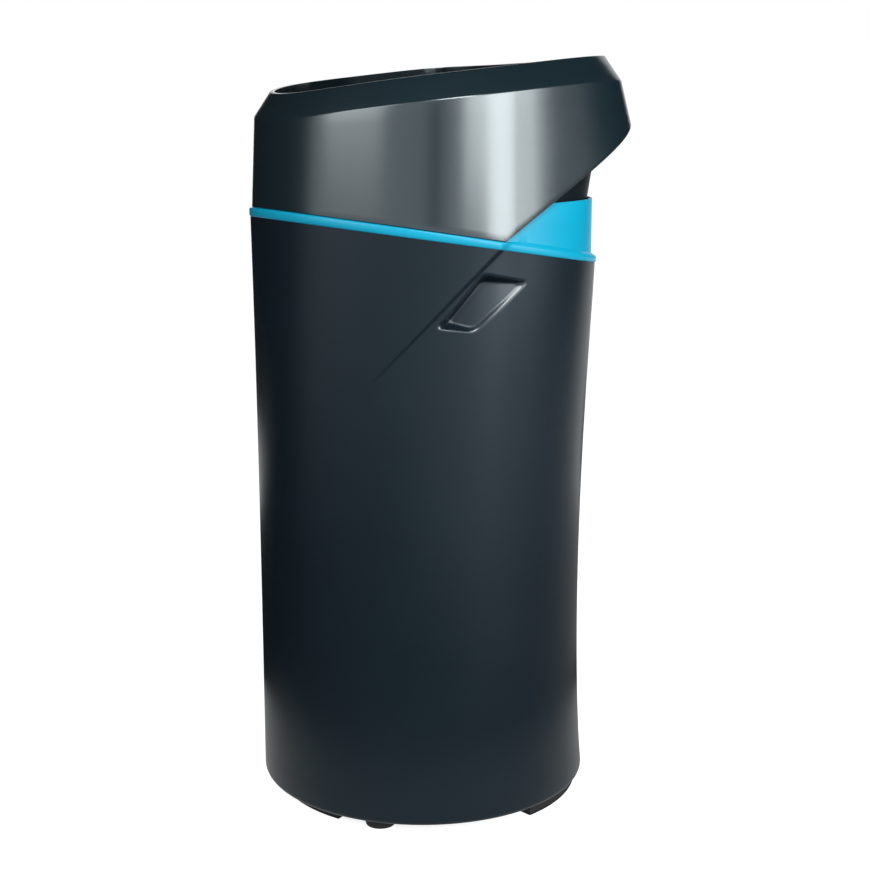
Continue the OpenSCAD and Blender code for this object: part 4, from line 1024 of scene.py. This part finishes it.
def card_surface(tone):
    def surface(tree):
        dull = tree.nodes.new("ShaderNodeEmission")
        dull.inputs["Strength"].default_value = tone
        return dull.outputs[0]
    return surface


bpy.ops.object.select_all(action="DESELECT")
bpy.ops.mesh.primitive_plane_add(size=floor_size)
ground = bpy.context.object
ground.name = "studio_floor"
ground.data.materials.append(paper("floor_paper", floor_surface))


# Place at a bearing round the object, counted as the camera's is, with a distance and a height
def bearing(degrees, distance, height):
    t = math.radians(degrees)
    return (math.sin(t) * distance, -math.cos(t) * distance, height)


def soft_box(name, degrees, distance, height, wide, tall, power):
    light = bpy.data.lights.new(name, "AREA")
    light.shape = "RECTANGLE"
    light.size = wide
    light.size_y = tall
    light.energy = power
    made = bpy.data.objects.new(name, light)
    bpy.context.scene.collection.objects.link(made)
    made.location = bearing(degrees, distance, height)
    pitch = math.atan2(height - aim_height, distance)
    made.rotation_euler = (math.pi / 2 - pitch, 0, math.radians(degrees))


# A card shows only as a reflection in the object
def as_card(made, name, tone):
    made.name = name
    made.data.materials.append(paper(name + "_paper", card_surface(tone)))
    made.visible_camera = False
    made.visible_diffuse = False
    made.visible_transmission = False
    made.visible_shadow = False


def standing_card(name, degrees, distance, wide, foot, head):
    bpy.ops.object.select_all(action="DESELECT")
    bpy.ops.mesh.primitive_plane_add(size=1)
    made = bpy.context.object
    made.scale = (wide, head - foot, 1)
    made.rotation_euler = (math.pi / 2, 0, math.radians(degrees))
    made.location = bearing(degrees, distance, (foot + head) / 2)
    as_card(made, name, black)


def level_card(name, degrees, distance, height, radius, tone):
    bpy.ops.object.select_all(action="DESELECT")
    bpy.ops.mesh.primitive_circle_add(vertices=card_sides, radius=radius, fill_type="NGON")
    made = bpy.context.object
    made.location = bearing(degrees, distance, height)
    as_card(made, name, tone)


soft_box("soft_box_right", degrees=107.2, distance=2.6, height=1.2, wide=1.0, tall=1.5, power=50)
soft_box("soft_box_fill", degrees=88, distance=2.6, height=1.5, wide=0.9, tall=1.2, power=22)
soft_box("soft_box_front", degrees=6, distance=2.8, height=2.1, wide=2.2, tall=2.0, power=52)
soft_box("soft_box_top", degrees=72, distance=2.0, height=2.4, wide=0.9, tall=0.9, power=48)
standing_card("card_left", degrees=-61.5, distance=2.6, wide=4.14, foot=0, head=4.0)
standing_card("card_middle", degrees=60, distance=2.6, wide=0.45, foot=0.7, head=4.0)
standing_card("card_right", degrees=145.0, distance=2.6, wide=2.6, foot=0, head=4.0)
standing_card("card_side", degrees=141, distance=0.422, wide=0.57, foot=0.8, head=1.4)
level_card("card_round", degrees=0, distance=0, height=0.001, radius=1.8, tone=dark_grey)
level_card("card_low", degrees=-12, distance=1.35, height=0.002, radius=1.95, tone=black)
level_card("card_back", degrees=235, distance=2.9, height=0.002, radius=1.3, tone=black)
level_card("card_near", degrees=0, distance=0, height=0.003, radius=0.52, tone=light_grey)
level_card("card_high", degrees=63, distance=0, height=3.2, radius=3.4, tone=black)

world = bpy.data.worlds.new("surround")
bpy.context.scene.world = world
world.use_nodes = True
sky = world.node_tree.nodes["Background"]
sky.inputs["Color"].default_value = surround_white
strength = world.node_tree.nodes.new("ShaderNodeMapRange")
strength.inputs["To Min"].default_value = surround_light
strength.inputs["To Max"].default_value = surround_seen
world.node_tree.links.new(seen_directly(world.node_tree), strength.inputs["Value"])
world.node_tree.links.new(strength.outputs[0], sky.inputs["Strength"])

bpy.context.scene.view_settings.view_transform = "Standard"

# Camera
# It stands at the photograph's angle, a little above the rim of the lid and turned slightly down.

image_size = 870
focal_px = 1553.3
sensor = 36.0
camera_bearing = 63.197
camera_distance = 2.31087
camera_height = 0.98932
camera_aim_y = 0.020359
camera_pitch = math.radians(11.194)
lens = bpy.data.cameras.new("photo_view")
lens.sensor_width = sensor
lens.lens = focal_px * sensor / image_size
camera = bpy.data.objects.new("photo_view", lens)
bpy.context.scene.collection.objects.link(camera)
side, back, up = bearing(camera_bearing, camera_distance, camera_height)
camera.location = (side, back + camera_aim_y, up)
camera.rotation_euler = (math.pi / 2 - camera_pitch, 0, math.radians(camera_bearing))
bpy.context.scene.camera = camera
